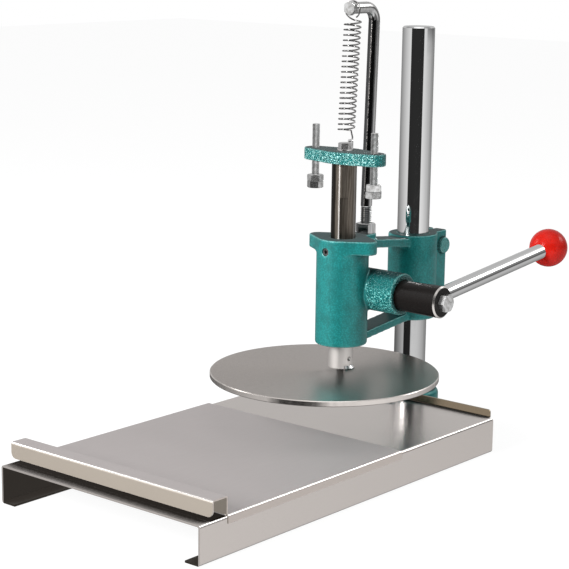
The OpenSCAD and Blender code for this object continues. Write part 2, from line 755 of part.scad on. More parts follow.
// Pressing disc, its centre in front of the ram
module press_disc()
  color(STEEL) difference() {
    translate([0, -reach - disc_shift, 0])
      rotate_extrude($fn = 180)
        polygon([[0, disc_bottom], [disc_r - disc_break, disc_bottom], [disc_r, disc_bottom + disc_break],
          [disc_r, disc_top - disc_break], [disc_r - disc_break, disc_top], [0, disc_top]]);
    translate([0, -reach, 0]) disc_screw_shape(fit, over);
  }

// Flush screw from below the disc into the ram
module disc_screw_shape(play, out) {
  bar_z(disc_screw_r + play, disc_bottom, disc_top + out + play);
  translate([0, 0, disc_bottom])
    cylinder(r1 = disc_screw_r + disc_screw_flare + play, r2 = disc_screw_r + play,
      h = disc_screw_flare);
  if (out > 0)
    bar_z(disc_screw_r + disc_screw_flare + play, disc_bottom - out, disc_bottom);
}
module disc_screw()
  color(ZINC) translate([0, -reach, 0]) difference() {
    union() {
      disc_screw_shape(0, 0);
      bar_z(disc_screw_r, disc_bottom, disc_top + disc_screw_l);
    }
    translate([0, 0, disc_bottom - over]) cylinder(r = key_af / sqrt(3), h = key_d + over, $fn = 6);
  }

// Crosshead that carries the stop screws
module crosshead()
  color(TEAL) translate([0, -reach, 0]) difference() {
    lobed_plate(cross_mid_r, cross_end_r, stop_x, cross_bottom, cross_top);
    bar_z(top_r + fit, cross_bottom - over, cross_top + over);
    for (s = [-1, 1]) translate([s * stop_x, 0, 0])
      bar_z(stop_r + fit, cross_bottom - over, cross_top + over);
  }

// Bolt that holds the crosshead and the spring tab on the ram
module top_bolt()
  color(ZINC) translate([0, -reach, 0]) {
    bar_z(top_r, cross_bottom - top_l, cross_top + tab_t + top_head_t / 2);
    rotate([0, 0, top_bolt_dir]) hexagon(top_af, cross_top + tab_t, cross_top + tab_t + top_head_t);
  }

// Bent tab for the lower hook of the spring
module spring_tab()
  color(ZINC) translate([0, -reach, 0]) difference() {
    union() {
      block(-tab_w / 2, tab_w / 2, 0, tab_y + tab_t / 2, cross_top, cross_top + tab_t);
      bar_z(tab_y - tab_t, cross_top, cross_top + tab_t);
      block(-tab_w / 2, tab_w / 2, tab_y - tab_t / 2, tab_y + tab_t / 2, cross_top, cross_top + tab_h);
    }
    bar_z(top_r + fit, cross_top - over, cross_top + tab_t + over);
    translate([0, 0, cross_top + tab_h - tab_w / 2]) bar_y(tab_hole_r, tab_y - over, tab_y + over);
    for (s = [-1, 1]) translate([s * tab_w / 6, 0, cross_top + tab_h - tab_w / 3])
      corner_y(tab_w / 3, tab_y - over, tab_y + over, s, 1);
  }

// Stop screws with their heads down, and the nuts on them
module stop_screw(x, z, dir)
  color(ZINC) translate([x, -reach, 0]) {
    rotate([0, 0, dir]) mirror([0, 0, 1]) hexagon(stop_af, -z - stop_head_t, -z);
    thread_bar(stop_r, thread_d, thread_p, z + stop_head_t, z + stop_head_t + stop_l);
    bar_z(stop_r / 2, z + stop_head_t / 2, z + stop_head_t + thread_p);
  }
module stop_nut(x, z, dir) {
  z0 = z + stop_head_t + stop_nut_gap;
  color(ZINC) translate([x, -reach, 0]) difference() {
    rotate([0, 0, dir]) hexagon(stop_af, z0, z0 + stop_nut_t, 1, 1);
    bar_z(stop_r + fit, z0 - over, z0 + stop_nut_t + over);
  }
}
module stop_screw_left() stop_screw(-stop_x, stop_left_z, left_stop_dir);
module stop_screw_right() stop_screw(stop_x, stop_right_z, right_stop_dir);
module stop_nut_left() stop_nut(-stop_x, stop_left_z, left_stop_dir - cross_dir);
module stop_nut_right() stop_nut(stop_x, stop_right_z, right_stop_dir - cross_dir);

// Axis of the spring wire from the lower hook to the upper hook
coil_r = spring_r - wire_r;
coil_z0 = cross_top + spring_low;
coil_z1 = arm_z - spring_top;
hook_r = post_r + hook_gap + wire_r;
tab_wire_z = cross_top + tab_h - tab_w / 2 + tab_hole_r - wire_r - hook_gap;
coil_y0 = tab_y - coil_r + wire_r;
coil_y1 = post_end + wire_r + hook_gap;
low_hook = [
  [0, tab_y - 3.4 * wire_r, tab_wire_z],
  [0, tab_y - 1.8 * wire_r, tab_wire_z],
  [0, tab_y, tab_wire_z],
  [0, tab_y + 1.8 * wire_r, tab_wire_z],
  [0, tab_y + 3.2 * wire_r, tab_wire_z + wire_r],
  [0, tab_y + 4 * wire_r, tab_wire_z + 3 * wire_r],
  [0, tab_y + 4.4 * wire_r, tab_wire_z + 6 * wire_r],
  [0, tab_y + 3.4 * wire_r, tab_wire_z + 9 * wire_r],
  [0, tab_y + 2 * wire_r, coil_z0 - 4 * wire_r]];
coil = [for (i = [0 : 8 * spring_n])
  let (a = 90 + i * 45, u = i / (8 * spring_n))
  [coil_r * cos(a), coil_y0 + (coil_y1 - coil_y0) * u + coil_r * sin(a),
    coil_z0 + (coil_z1 - coil_z0) * u]];
rise = [for (i = [1 : 3])
  let (a = 90 + i * 30, u = i / 3)
  [(coil_r + (hook_r - coil_r) * u) * cos(a), coil_y1 + coil_r * sin(a),
    coil_z1 + (arm_z - coil_z1) * u * u * 0.6]];
top_hook = [for (i = [0 : 10])
  let (a = 180 - i * 24)
  [hook_r * cos(a), coil_y1, arm_z + hook_r * sin(a)]];
wire = [for (q = concat(low_hook, coil, rise, top_hook)) q + [0, -reach, 0]];

// Tube round a line of points, in one piece, six sides
function unit(v) = v / norm(v);
function along(p, i) = unit(p[min(i + 1, len(p) - 1)] - p[max(i - 1, 0)]);
function square_to(v, t) = unit(v - (v * t) * t);
function sides(p) = [for (i = 0, v = square_to([1, 0, 0], along(p, 0)); i < len(p);
  i = i + 1, v = square_to(v, along(p, min(i, len(p) - 1)))) v];
module tube(p, r, m) {
  v = sides(p);
  n = len(p);
  pts = [for (i = [0 : n - 1]) let (t = along(p, i), w = cross(t, v[i]))
    for (k = [0 : m - 1]) p[i] + r * (cos(k * 360 / m) * v[i] + sin(k * 360 / m) * w)];
  walls = [for (i = [0 : n - 2], k = [0 : m - 1]) let (a = i * m + k, b = i * m + (k + 1) % m)
    each [[a, a + m, b + m], [a, b + m, b]]];
  caps = [[for (k = [0 : m - 1]) k], [for (k = [0 : m - 1]) n * m - 1 - k]];
  polyhedron(pts, concat(walls, caps));
}

// Least gap between parts of the wire that are not neighbours
function least_gap(p) = min([for (i = [0 : len(p) - 1], j = [i + 5 : 1 : len(p) - 1])
  norm(p[i] - p[j])]) - 2 * wire_r;
echo(least_self_gap = least_gap(wire));

// Return spring, one unbroken wire with a hook at each end
module return_spring() color(ZINC) tube(wire, wire_r, 6);

// Flank of a pinion tooth, by its half angle at a radius
function inv(a) = tan(a) * 180 / PI - a;
function half_angle(r) =
  90 / pinion_teeth - backlash / (2 * pinion_pitch_r) * 180 / PI + inv(pressure)
  - inv(acos(min(1, pinion_pitch_r * cos(pressure) / r)));
function pinion_plan() =
  let (rb = pinion_pitch_r * cos(pressure), n = 4)
  [for (k = [0 : pinion_teeth - 1]) let (c = (k + 0.5) * 360 / pinion_teeth)
    each concat(
      [pinion_root_r * [cos(c - half_angle(rb)), sin(c - half_angle(rb))]],
      [for (i = [0 : n]) let (r = rb + (pinion_tip_r - rb) * i / n)
        r * [cos(c - half_angle(r)), sin(c - half_angle(r))]],
      [for (i = [n : -1 : 0]) let (r = rb + (pinion_tip_r - rb) * i / n)
        r * [cos(c + half_angle(r)), sin(c + half_angle(r))]],
      [pinion_root_r * [cos(c + half_angle(rb)), sin(c + half_angle(rb))]])];

// Pinion shaft in one piece with the black hub
module pinion_shaft() {
  top = lever_rise;
  color(BLACK) translate([0, pinion_y, pinion_z]) difference() {
    union() {
      translate([-pinion_half, 0, 0])
        rotate([90, 0, 90]) rotate([0, 0, 180]) linear_extrude(2 * pinion_half) polygon(pinion_plan());
      bar_x(journal_r, -boss_left - far_gap, -pinion_half);
      bar_x(shaft_r, pinion_half, boss_right + hub_gap);
      rotate([0, 90, 0])
        rotate_extrude()
          polygon([[0, boss_right + hub_gap], [hub_r - hub_taper, boss_right + hub_gap],
            [hub_r, hub_end - hub_break], [hub_r - hub_break, hub_end], [0, hub_end]]);
    }
    rotate([top, 0, 0]) translate([lever_x, 0, 0]) bar_y(lever_r + fit, -lever_in - fit, hub_r + over);
    bar_x(lever_bolt_r + fit, lever_x, hub_end + over);
    bar_x(far_bolt_r + fit, -boss_left - far_gap - over, -boss_left - far_gap + far_bolt_l + fit);
  }
}

// Washer and bolt at the far end of the pinion shaft
module far_washer()
  color(ZINC) translate([-boss_left - far_gap, pinion_y, pinion_z]) difference() {
    bar_x(far_washer_r, -far_washer_t, 0);
    bar_x(far_bolt_r + fit, -far_washer_t - over, over);
  }
module far_bolt()
  color(ZINC) translate([-boss_left - far_gap - far_washer_t, pinion_y, pinion_z]) {
    rotate([0, -90, 0]) hexagon(far_af, 0, far_head_t);
    bar_x(far_bolt_r, -far_head_t / 2, far_washer_t + far_bolt_l);
  }

// Bolt in the end of the hub that clamps the lever rod
module lever_bolt()
  color(ZINC) translate([0, pinion_y, pinion_z]) {
    translate([hub_end, 0, 0]) rotate([0, 90, 0]) rotate([0, 0, 30]) hexagon(lever_af, 0, lever_head_t);
    bar_x(lever_bolt_r, lever_x + lever_r + fit, hub_end + lever_head_t / 2);
  }

// Lever rod and its ball
module lever_place() translate([lever_x, pinion_y, pinion_z]) rotate([lever_rise, 0, 0]) children();
ball_face = sqrt(ball_r * ball_r - ball_flat_r * ball_flat_r);
module lever_rod()
  color(CHROME) lever_place() {
    bar_y(lever_r, -lever_in, lever_l - ball_face);
    bar_y(stud_r, lever_l - ball_face, lever_l);
  }
module ball_knob()
  color(RED) lever_place() difference() {
    translate([0, lever_l, 0]) rotate([-90, 0, 0]) sphere(r = ball_r);
    block(-ball_r, ball_r, lever_l - ball_r - over, lever_l - ball_face, -ball_r, ball_r);
    bar_y(stud_r + fit, 0, lever_l + fit);
  }

base();
column_foot();
foot_screws();
column();
tray();
head_casting();
set_screw();
clamp_screws();
spring_post();
post_nut();
post_end_bolt();
ram();
press_disc();
disc_screw();
weld_tack();
crosshead();
top_bolt();
spring_tab();
stop_screw_left();
stop_screw_right();
stop_nut_left();
stop_nut_right();
return_spring();
pinion_shaft();
far_washer();
far_bolt();
lever_bolt();
lever_rod();
ball_knob();
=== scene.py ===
"""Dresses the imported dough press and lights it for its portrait.

Every length is in metres, in the frame of the solids: the origin is on the floor under the
round column, -Y is the side the tray is pulled out to, and +X is the side of the hand lever.
"""
import logging
import math
from dataclasses import dataclass
from enum import Enum

import bmesh
import bpy
from mathutils import Matrix, Vector


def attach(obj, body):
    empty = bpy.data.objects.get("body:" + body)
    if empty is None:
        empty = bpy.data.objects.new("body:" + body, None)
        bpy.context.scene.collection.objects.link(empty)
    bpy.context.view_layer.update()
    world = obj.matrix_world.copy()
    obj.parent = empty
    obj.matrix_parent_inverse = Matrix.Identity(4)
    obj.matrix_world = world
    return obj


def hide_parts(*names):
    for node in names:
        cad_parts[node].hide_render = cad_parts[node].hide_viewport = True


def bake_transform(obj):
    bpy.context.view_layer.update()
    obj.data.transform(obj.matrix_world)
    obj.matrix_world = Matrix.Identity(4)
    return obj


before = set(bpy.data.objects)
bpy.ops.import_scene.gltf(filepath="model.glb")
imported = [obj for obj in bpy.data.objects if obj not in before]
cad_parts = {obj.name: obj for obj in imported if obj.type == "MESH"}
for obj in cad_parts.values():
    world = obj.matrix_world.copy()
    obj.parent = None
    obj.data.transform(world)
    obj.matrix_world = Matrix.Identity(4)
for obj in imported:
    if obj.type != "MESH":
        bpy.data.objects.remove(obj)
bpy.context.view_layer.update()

LOG = logging.getLogger("dough_press")
MM = 0.001
Socket = bpy.types.NodeSocket
Pair = tuple[float, float]
# A span holds the value at which a mask is empty and the value at which it is full.
Span = Pair
Place = tuple[float, float, float]
# How many finer layers a noise has.
PLAIN = 2.0
FINE = 3.0


class Kind(Enum):
    """The nodes in use: type, settings, the inputs in the order they are given, and the output."""

    PLUS = ("Math", {"operation": "ADD"}, (0, 1), 0)
    MINUS = ("Math", {"operation": "SUBTRACT"}, (0, 1), 0)
    TIMES = ("Math", {"operation": "MULTIPLY"}, (0, 1), 0)
    OVER = ("Math", {"operation": "DIVIDE"}, (0, 1), 0)
    LARGER = ("Math", {"operation": "MAXIMUM"}, (0, 1), 0)
    UNSIGNED = ("Math", {"operation": "ABSOLUTE"}, (0,), 0)
    ROOT = ("Math", {"operation": "SQRT"}, (0,), 0)
    ANGLE = ("Math", {"operation": "ARCTAN2"}, (0, 1), 0)
    DEGREES = ("Math", {"operation": "DEGREES"}, (0,), 0)
    EASE = ("MapRange", {"interpolation_type": "SMOOTHSTEP"}, ("Value", "From Min", "From Max"), "Result")
    RAMP = ("MapRange", {"interpolation_type": "LINEAR"}, ("Value", "From Min", "From Max"), "Result")
    BLEND = ("Mix", {"data_type": "RGBA"}, (0, 6, 7), 2)
    PLACE = ("TexCoord", {}, (), "Object")
    AIM = ("TexCoord", {}, (), "Generated")
    FACING = ("NewGeometry", {}, (), "Normal")
    SHARPNESS = ("NewGeometry", {}, (), "Pointiness")
    OPENNESS = ("AmbientOcclusion", {"inside": False}, ("Distance",), "AO")
    BULK = ("AmbientOcclusion", {"inside": True}, ("Distance",), "AO")
    SPLIT = ("SeparateXYZ", {}, (0,), 0)
    UNITE = ("CombineXYZ", {}, ("X", "Y"), 0)
    STRETCH = ("Mapping", {"vector_type": "POINT"}, ("Vector", "Scale"), 0)
    WARP = ("VectorMath", {"operation": "MULTIPLY_ADD"}, (0, 1, 2), 0)
    NOISE = ("TexNoise", {}, ("Vector", "Scale", "Detail"), "Fac")
    NOISE_VECTOR = ("TexNoise", {}, ("Vector", "Scale", "Detail"), "Color")
    CELLS = ("TexVoronoi", {"feature": "SMOOTH_F1"}, ("Vector", "Scale", "Smoothness"), "Distance")
    ROUND_Z = ("Tangent", {"direction_type": "RADIAL", "axis": "Z"}, (), 0)
    BUMP = ("Bump", {}, ("Height", "Distance", "Strength", "Normal"), "Normal")
    CAMERA_RAY = ("LightPath", {}, (), "Is Camera Ray")
    GLOSSY_RAY = ("LightPath", {}, (), "Is Glossy Ray")
    GLASS_RAY = ("LightPath", {}, (), "Is Transmission Ray")
    PRINCIPLED = ("BsdfPrincipled", {}, (), "BSDF")
    GLOW = ("Emission", {}, ("Color", "Strength"), 0)
    MIX_SHADER = ("MixShader", {}, (0, 1, 2), 0)
    BACKGROUND = ("Background", {}, ("Color", "Strength"), 0)


def to_linear(code: str) -> tuple[float, float, float, float]:
    """Turns an sRGB hex code into a linear colour.

    Args:
        code: the colour as six hex digits after a hash.

    Returns:
        Linear red, green and blue, and an alpha of 1.
    """
    parts = [int(code[i : i + 2], 16) / 255 for i in (1, 3, 5)]
    lin = [c / 12.92 if c <= 0.04045 else ((c + 0.055) / 1.055) ** 2.4 for c in parts]
    return (lin[0], lin[1], lin[2], 1.0)


class NodeSheet:
    """A node tree with its output, and the one way to add nodes to it."""

    def __init__(self, tree: bpy.types.NodeTree, output: str) -> None:
        """Empties the tree and gives it an output.

        Args:
            tree: the tree.
            output: the type name of its output node.
        """
        self.tree = tree
        self.tree.nodes.clear()
        self.output = self.tree.nodes.new(output)

    def feed(self, socket: Socket, value: object) -> None:
        """Joins or sets one input.

        Args:
            socket: the input.
            value: a socket to join, or a hex code or a plain value to set.
        """
        if isinstance(value, Socket):
            self.tree.links.new(value, socket)
        else:
            socket.default_value = to_linear(value) if isinstance(value, str) else value

    def add(self, kind: Kind, *values: object) -> Socket:
        """Adds a node with its settings and links.

        Args:
            kind: which node.
            values: its inputs, in the order that the kind names them.

        Returns:
            The output that the kind names.
        """
        name, settings, slots, out = kind.value
        node = self.tree.nodes.new("ShaderNode" + name)
        for key, setting in settings.items():
            setattr(node, key, setting)
        for slot, value in zip(slots, values):
            self.feed(node.inputs[slot], value)
        return node.outputs[out]

    def fold(self, kind: Kind, *values: object) -> Socket:
        """Takes several values together, two at a time.

        Args:
            kind: a node with two inputs.
            values: sockets or numbers.

        Returns:
            The last result.
        """
        result = values[0]
        for value in values[1:]:
            result = self.add(kind, result, value)
        return result

    def close(self, surface: Socket) -> None:
        """Joins a shader to the output."""
        self.feed(self.output.inputs["Surface"], surface)


class ShaderSheet(NodeSheet):
    """The node sheet of one material, with one principled shader.

    x, y and z are the object coordinates, which are those of the solids in metres, and nx, ny
    and nz are the parts of the direction that the surface faces.
    """

    def __init__(self, name: str) -> None:
        """Starts the material.

        Args:
            name: the material's name.
        """
        self.material = bpy.data.materials.new(name)
        self.material.use_nodes = True
        super().__init__(self.material.node_tree, "ShaderNodeOutputMaterial")
        self.surface = self.add(Kind.PRINCIPLED)
        self.close(self.surface)
        self.place = self.add(Kind.PLACE)
        self.x, self.y, self.z = self.add(Kind.SPLIT, self.place).node.outputs
        self.nx, self.ny, self.nz = self.add(Kind.SPLIT, self.add(Kind.FACING)).node.outputs

    def away(self, across: Socket, along: Socket, centre: Pair) -> tuple[Socket, ...]:
        """Measures a point from a centre, in two of its coordinates.

        Args:
            across: the point's first coordinate.
            along: its second coordinate.
            centre: the centre's two coordinates.

        Returns:
            How far the point is along each coordinate, and the straight distance.
        """
        sides = [self.add(Kind.MINUS, part, middle) for part, middle in zip((across, along), centre)]
        squares = [self.add(Kind.TIMES, side, side) for side in sides]
        return (*sides, self.add(Kind.ROOT, self.add(Kind.PLUS, *squares)))

    def finish(self, **values: object) -> bpy.types.Material:
        """Sets or joins inputs of the principled shader.

        Args:
            values: each input by its name, with _ for a space.

        Returns:
            The finished material.
        """
        for key, value in values.items():
            self.feed(self.surface.node.inputs[key.replace("_", " ")], value)
        return self.material


@dataclass(frozen=True)
class HammeredPaint:
    """Hammer enamel, sprayed on rough cast iron.

    It gives the eye a satin teal, with painted shade in the nooks and on faces that look up, and a
    broken painted highlight on the sharp rims. It lies smooth on the sleeves, and thick on the boss
    and the crosshead, in beads whose tops glint, and with painted glints of highlight where the thick
    enamel stands upright.
    """

    name: str = "hammered_enamel"
    mid: str = "#0d7f7d"
    pale: str = "#1c9896"
    dark: str = "#08605f"
    ground: str = "#0a6463"
    # This colour is a painted shade on faces that look up.
    top: str = "#0a3f40"
    shadow: str = "#052c2c"
    # The next two colours are painted highlights: the glints, and the broken highlight on the sharp rims.
    glint_highlight: str = "#b2f0eb"
    boss_glint_highlight: str = "#7fe6e1"
    # The real beads, flecks and glints are finer than a pixel of the render, so they are drawn
    # coarser and deeper than they are, until they show.
    bead: float = 1.7 * MM
    fleck: float = 0.9 * MM
    glint: float = 1.3 * MM
    glint_detail: float = 0.5
    depth: float = 1.6 * MM
    fleck_depth: float = 0.35
    felt: float = 1.0
    wander: float = 0.7
    wander_detail: float = 1.0
    rounding: float = 0.4
    thin: float = 0.08
    patch: float = 14 * MM
    # Where the enamel is thick: on the boss, and up from the foot of the crosshead.
    boss_x: Span = (29 * MM, 32 * MM)
    boss_y: Span = (-68 * MM, -70 * MM)
    boss_middle: float = 174 * MM
    boss_off: Span = (27 * MM, 23 * MM)
    crosshead_z: Span = (299 * MM, 300 * MM)
    between_beads: Span = (0.1, 0.7)
    in_patch: Span = (0.45, 0.75)
    facing_up: Span = (0.7, 0.95)
    nook: float = 24 * MM
    sheltered: Span = (0.95, 0.45)
    # Where the sharp rims get a painted highlight, broken up by noise.
    sharp: Span = (0.515, 0.55)
    rim_highlight_spots: Span = (0.35, 0.6)
    glint_top: Span = (0.54, 0.62)
    glint_upright: Span = (0.5, 0.1)
    glint_front: Span = (0.8, 0.6)
    patch_share: float = 0.5
    ground_share: float = 0.3
    nook_share: float = 0.6
    rim_share: float = 0.4
    glint_share: float = 0.9
    metallic: float = 0.26
    rough: float = 0.42
    thick_gloss: float = 0.16
    specular: float = 0.4
    top_specular: float = 0.3
    coat: float = 0.38
    top_coat: float = 0.32
    coat_rough: float = 0.12

    def beads(self, s: ShaderSheet, size: float) -> Socket:
        """Draws beads of enamel.

        Args:
            s: the sheet.
            size: the width of a bead.

        Returns:
            The height, from 0 in the middle of a bead to about 1 between beads.
        """
        wobble = s.add(Kind.NOISE_VECTOR, s.place, 1 / (2 * size), self.wander_detail)
        warped = s.add(Kind.WARP, wobble, (size * self.wander,) * 3, s.place)
        return s.add(Kind.CELLS, warped, 1 / size, self.rounding)

    def coats(self, s: ShaderSheet) -> tuple[Socket, Socket]:
        """Finds where the enamel lies thick.

        Args:
            s: the sheet.

        Returns:
            Where it is thick, and where the crosshead is.
        """
        off = s.add(Kind.UNSIGNED, s.add(Kind.MINUS, s.z, self.boss_middle))
        boss = s.fold(
            Kind.TIMES,
            s.add(Kind.EASE, s.x, *self.boss_x),
            s.add(Kind.EASE, s.y, *self.boss_y),
            s.add(Kind.EASE, off, *self.boss_off),
        )
        crosshead = s.add(Kind.EASE, s.z, *self.crosshead_z)
        return s.add(Kind.LARGER, boss, crosshead), crosshead

    def glints(self, s: ShaderSheet, thick: Socket) -> Socket:
        """Scatters painted glints of highlight over the thick enamel that stands upright.

        Args:
            s: the sheet.
            thick: where the enamel is thick.

        Returns:
            How much of a glint is at a point, from 0 to 1.
        """
        spots = s.add(Kind.NOISE, s.place, 1 / self.glint, self.glint_detail)
        return s.fold(
            Kind.TIMES,
            s.add(Kind.EASE, spots, *self.glint_top),
            thick,
            s.add(Kind.EASE, s.nz, *self.glint_upright),
            s.add(Kind.EASE, s.nx, *self.glint_front),
            self.glint_share,
        )

    def colour(self, s: ShaderSheet, pit: Socket, thick: Socket, crosshead: Socket, up: Socket) -> Socket:
        """Mixes the enamel's colour.

        Args:
            s: the sheet.
            pit: the height of the beads.
            thick: where the enamel is thick.
            crosshead: where the crosshead is.
            up: how much the surface faces up.

        Returns:
            The colour.
        """
        enamel = s.add(Kind.BLEND, s.add(Kind.EASE, pit, *self.between_beads), self.pale, self.mid)
        patches = s.add(Kind.EASE, s.add(Kind.NOISE, s.place, 1 / self.patch, FINE), *self.in_patch)
        enamel = s.add(Kind.BLEND, s.add(Kind.TIMES, patches, self.patch_share), enamel, self.dark)
        enamel = s.add(Kind.BLEND, s.add(Kind.TIMES, thick, self.ground_share), enamel, self.ground)
        # Painted shade on faces that look up.
        enamel = s.add(Kind.BLEND, up, enamel, self.top)
        # Painted shade in the nooks.
        nook = s.add(Kind.EASE, s.add(Kind.OPENNESS, self.nook), *self.sheltered)
        enamel = s.add(Kind.BLEND, s.add(Kind.TIMES, nook, self.nook_share), enamel, self.shadow)
        # A painted highlight on the sharp rims, broken up by noise.
        rim = s.add(Kind.EASE, s.add(Kind.SHARPNESS), *self.sharp)
        wear_and_highlight = s.add(Kind.EASE, s.add(Kind.NOISE, s.place, 1 / self.fleck, PLAIN), *self.rim_highlight_spots)
        enamel = s.add(Kind.BLEND, s.fold(Kind.TIMES, rim, wear_and_highlight, self.rim_share), enamel, self.glint_highlight)
        # The glints are painted highlights, paler on the crosshead and more cyan on the boss.
        glint_highlight = s.add(Kind.BLEND, crosshead, self.boss_glint_highlight, self.glint_highlight)
        return s.add(Kind.BLEND, self.glints(s, thick), enamel, glint_highlight)

    def material(self) -> bpy.types.Material:
        """Makes the enamel.

        Returns:
            The material.
        """
        s = ShaderSheet(self.name)
        thick, crosshead = self.coats(s)
        up = s.add(Kind.EASE, s.nz, *self.facing_up)
        pit = self.beads(s, self.bead)
        layer = s.add(Kind.PLUS, s.add(Kind.TIMES, thick, 1 - self.thin), self.thin)
        coarse = s.add(Kind.BUMP, pit, s.add(Kind.TIMES, layer, self.depth), self.felt)
        fine = s.add(Kind.TIMES, layer, self.depth * self.fleck_depth)
        wavy = s.add(Kind.BUMP, self.beads(s, self.fleck), fine, self.felt, coarse)
        return s.finish(
            Base_Color=self.colour(s, pit, thick, crosshead, up),
            Metallic=self.metallic,
            Roughness=s.add(Kind.MINUS, self.rough, s.add(Kind.TIMES, thick, self.thick_gloss)),
            Specular_IOR_Level=s.add(Kind.MINUS, self.specular, s.add(Kind.TIMES, up, self.top_specular)),
            Coat_Weight=s.add(Kind.MINUS, self.coat, s.add(Kind.TIMES, up, self.top_coat)),
            Coat_Roughness=self.coat_rough,
            Normal=wavy,
            Coat_Normal=wavy,
        )


@dataclass(frozen=True)
class FoldedStainless:
    """Stainless sheet, cold rolled smooth and folded in a press brake.

    It gives the eye a soft grey shine with a faint grain along Y, a painted highlight along each bend
    and painted shade inside. The base has painted shade where the tray's handle hangs low over it,
    and its rear lip is straw coloured, with painted shade in the crease at its foot. On the tray,
    faces that lean away from up take a darker, warmer painted shade, and faces to the side a painted
    light.
    """

    name: str
    rough: float
    tone: str = "#e4dcd7"
    shade: str = "#e0d8d3"
    # On faces that lean away from up; on the tray a darker, warmer painted shade.
    side: str = "#e4dcd7"
    # On faces to the side; on the tray a painted light.
    skirt_painted_light: str = "#e4dcd7"
    # A painted highlight along each bend.
    bend: str = "#f4efeb"
    # Painted shade inside the base, under its top.
    dull: str = "#423d38"
    straw: str = "#a4937c"
    crease_shade: str = "#3a332a"
    # Painted shade where the tray's handle hangs low over the base, on the colour and on the specular tint.
    gloom: str = "#1a1612"
    gloom_edge: str = "#c6c3c1"
    # The grain is drawn 0.6 mm wide and 50 times as long, coarser than the rolled one, to show.
    grain: float = 0.6 * MM
    grain_scale: Place = (1.0, 0.02, 1.0)
    grain_depth: float = 0.001 * MM
    grain_felt: float = 0.06
    patch: float = 40 * MM
    patch_middle: float = 0.5
    patch_rough: float = 0.06
    bend_rough: float = 0.22
    dull_rough: float = 0.3
    # Half the inner width and the underside of the top, and where the rear lip starts in Y and Z.
    inside: Pair = (0.0, 0.0)
    lip: Pair = (1.0, 1.0)
    thin_edge: float = 0.1 * MM
    lip_fade: float = 0.5 * MM
    crease_rise: Span = (1.6 * MM, 0.8 * MM)
    shelter: float = 0.0
    low_roof: Span = (0.93, 0.76)
    level: Span = (0.6, 0.9)
    streaky: Span = (0.2, 0.8)
    leaning: Span = (0.8, 0.3)
    sideways: Span = (0.6, 0.8)
    turning: Span = (0.98, 0.9)

    def lip_tint(self, s: ShaderSheet, sheet: Socket) -> Socket:
        """Tints the rear lip.

        Args:
            s: the sheet.
            sheet: the colour of the plain sheet.

        Returns:
            The colour with the lip and the painted shade in the crease at its foot.
        """
        from_y, from_z = self.lip
        behind = s.add(Kind.EASE, s.y, from_y - self.thin_edge, from_y)
        lip = s.add(Kind.TIMES, behind, s.add(Kind.EASE, s.z, from_z, from_z + self.lip_fade))
        foot = s.add(Kind.EASE, s.z, *(from_z + rise for rise in self.crease_rise))
        tinted = s.add(Kind.BLEND, lip, sheet, self.straw)
        # Painted shade in the crease at the foot of the lip.
        return s.add(Kind.BLEND, s.fold(Kind.TIMES, lip, behind, foot), tinted, self.crease_shade)

    def colour(self, s: ShaderSheet, streak: Socket, bend: Socket, sideways: Socket) -> Socket:
        """Mixes the colour of the open sheet.

        Args:
            s: the sheet.
            streak: the grain.
            bend: where the sheet is bent.
            sideways: how much the surface faces to the side, from 0 to 1.

        Returns:
            The colour.
        """
        sheet = s.add(Kind.BLEND, s.add(Kind.EASE, streak, *self.streaky), self.tone, self.shade)
        # Faces that lean away from up take a painted shade on the tray, and faces to the side a painted
        # light.
        sheet = s.add(Kind.BLEND, s.add(Kind.EASE, s.nz, *self.leaning), sheet, self.side)
        sheet = s.add(Kind.BLEND, s.add(Kind.EASE, sideways, *self.sideways), sheet, self.skirt_painted_light)
        # A painted highlight along each bend.
        return self.lip_tint(s, s.add(Kind.BLEND, bend, sheet, self.bend))

    def material(self) -> bpy.types.Material:
        """Makes the sheet.

        Returns:
            The material.
        """
        s = ShaderSheet(self.name)
        streak = s.add(Kind.NOISE, s.add(Kind.STRETCH, s.place, self.grain_scale), 1 / self.grain, PLAIN)
        half, top = self.inside
        # Inside the base, under its top: painted shade, and a rougher surface.
        within = s.add(
            Kind.TIMES,
            s.add(Kind.EASE, s.add(Kind.UNSIGNED, s.x), half, half - self.thin_edge),
            s.add(Kind.EASE, s.z, top, top - self.thin_edge),
        )
        sides = [s.add(Kind.UNSIGNED, part) for part in (s.nx, s.ny, s.nz)]
        bend = s.add(Kind.EASE, s.fold(Kind.LARGER, *sides), *self.turning)
        sheet = self.colour(s, streak, bend, sides[0])
        tint: object = "#ffffff"
        # Painted shade where the tray's handle hangs low over the base.
        if self.shelter:
            roof = s.add(Kind.EASE, s.add(Kind.OPENNESS, self.shelter), *self.low_roof)
            under = s.add(Kind.TIMES, roof, s.add(Kind.EASE, s.nz, *self.level))
            sheet = s.add(Kind.BLEND, under, sheet, self.gloom)
            tint = s.add(Kind.BLEND, under, "#ffffff", self.gloom_edge)
        patches = s.add(Kind.MINUS, s.add(Kind.NOISE, s.place, 1 / self.patch, PLAIN), self.patch_middle)
        hazy = s.add(Kind.PLUS, self.rough, s.add(Kind.TIMES, patches, self.patch_rough))
        hazy = s.add(Kind.MINUS, hazy, s.add(Kind.TIMES, bend, self.rough - self.bend_rough))
        return s.finish(
            Base_Color=s.add(Kind.BLEND, within, sheet, self.dull),
            Metallic=1.0,
            Specular_Tint=tint,
            Roughness=s.add(Kind.PLUS, hazy, s.add(Kind.TIMES, within, self.dull_rough)),
            Normal=s.add(Kind.BUMP, streak, self.grain_depth, self.grain_felt),
        )


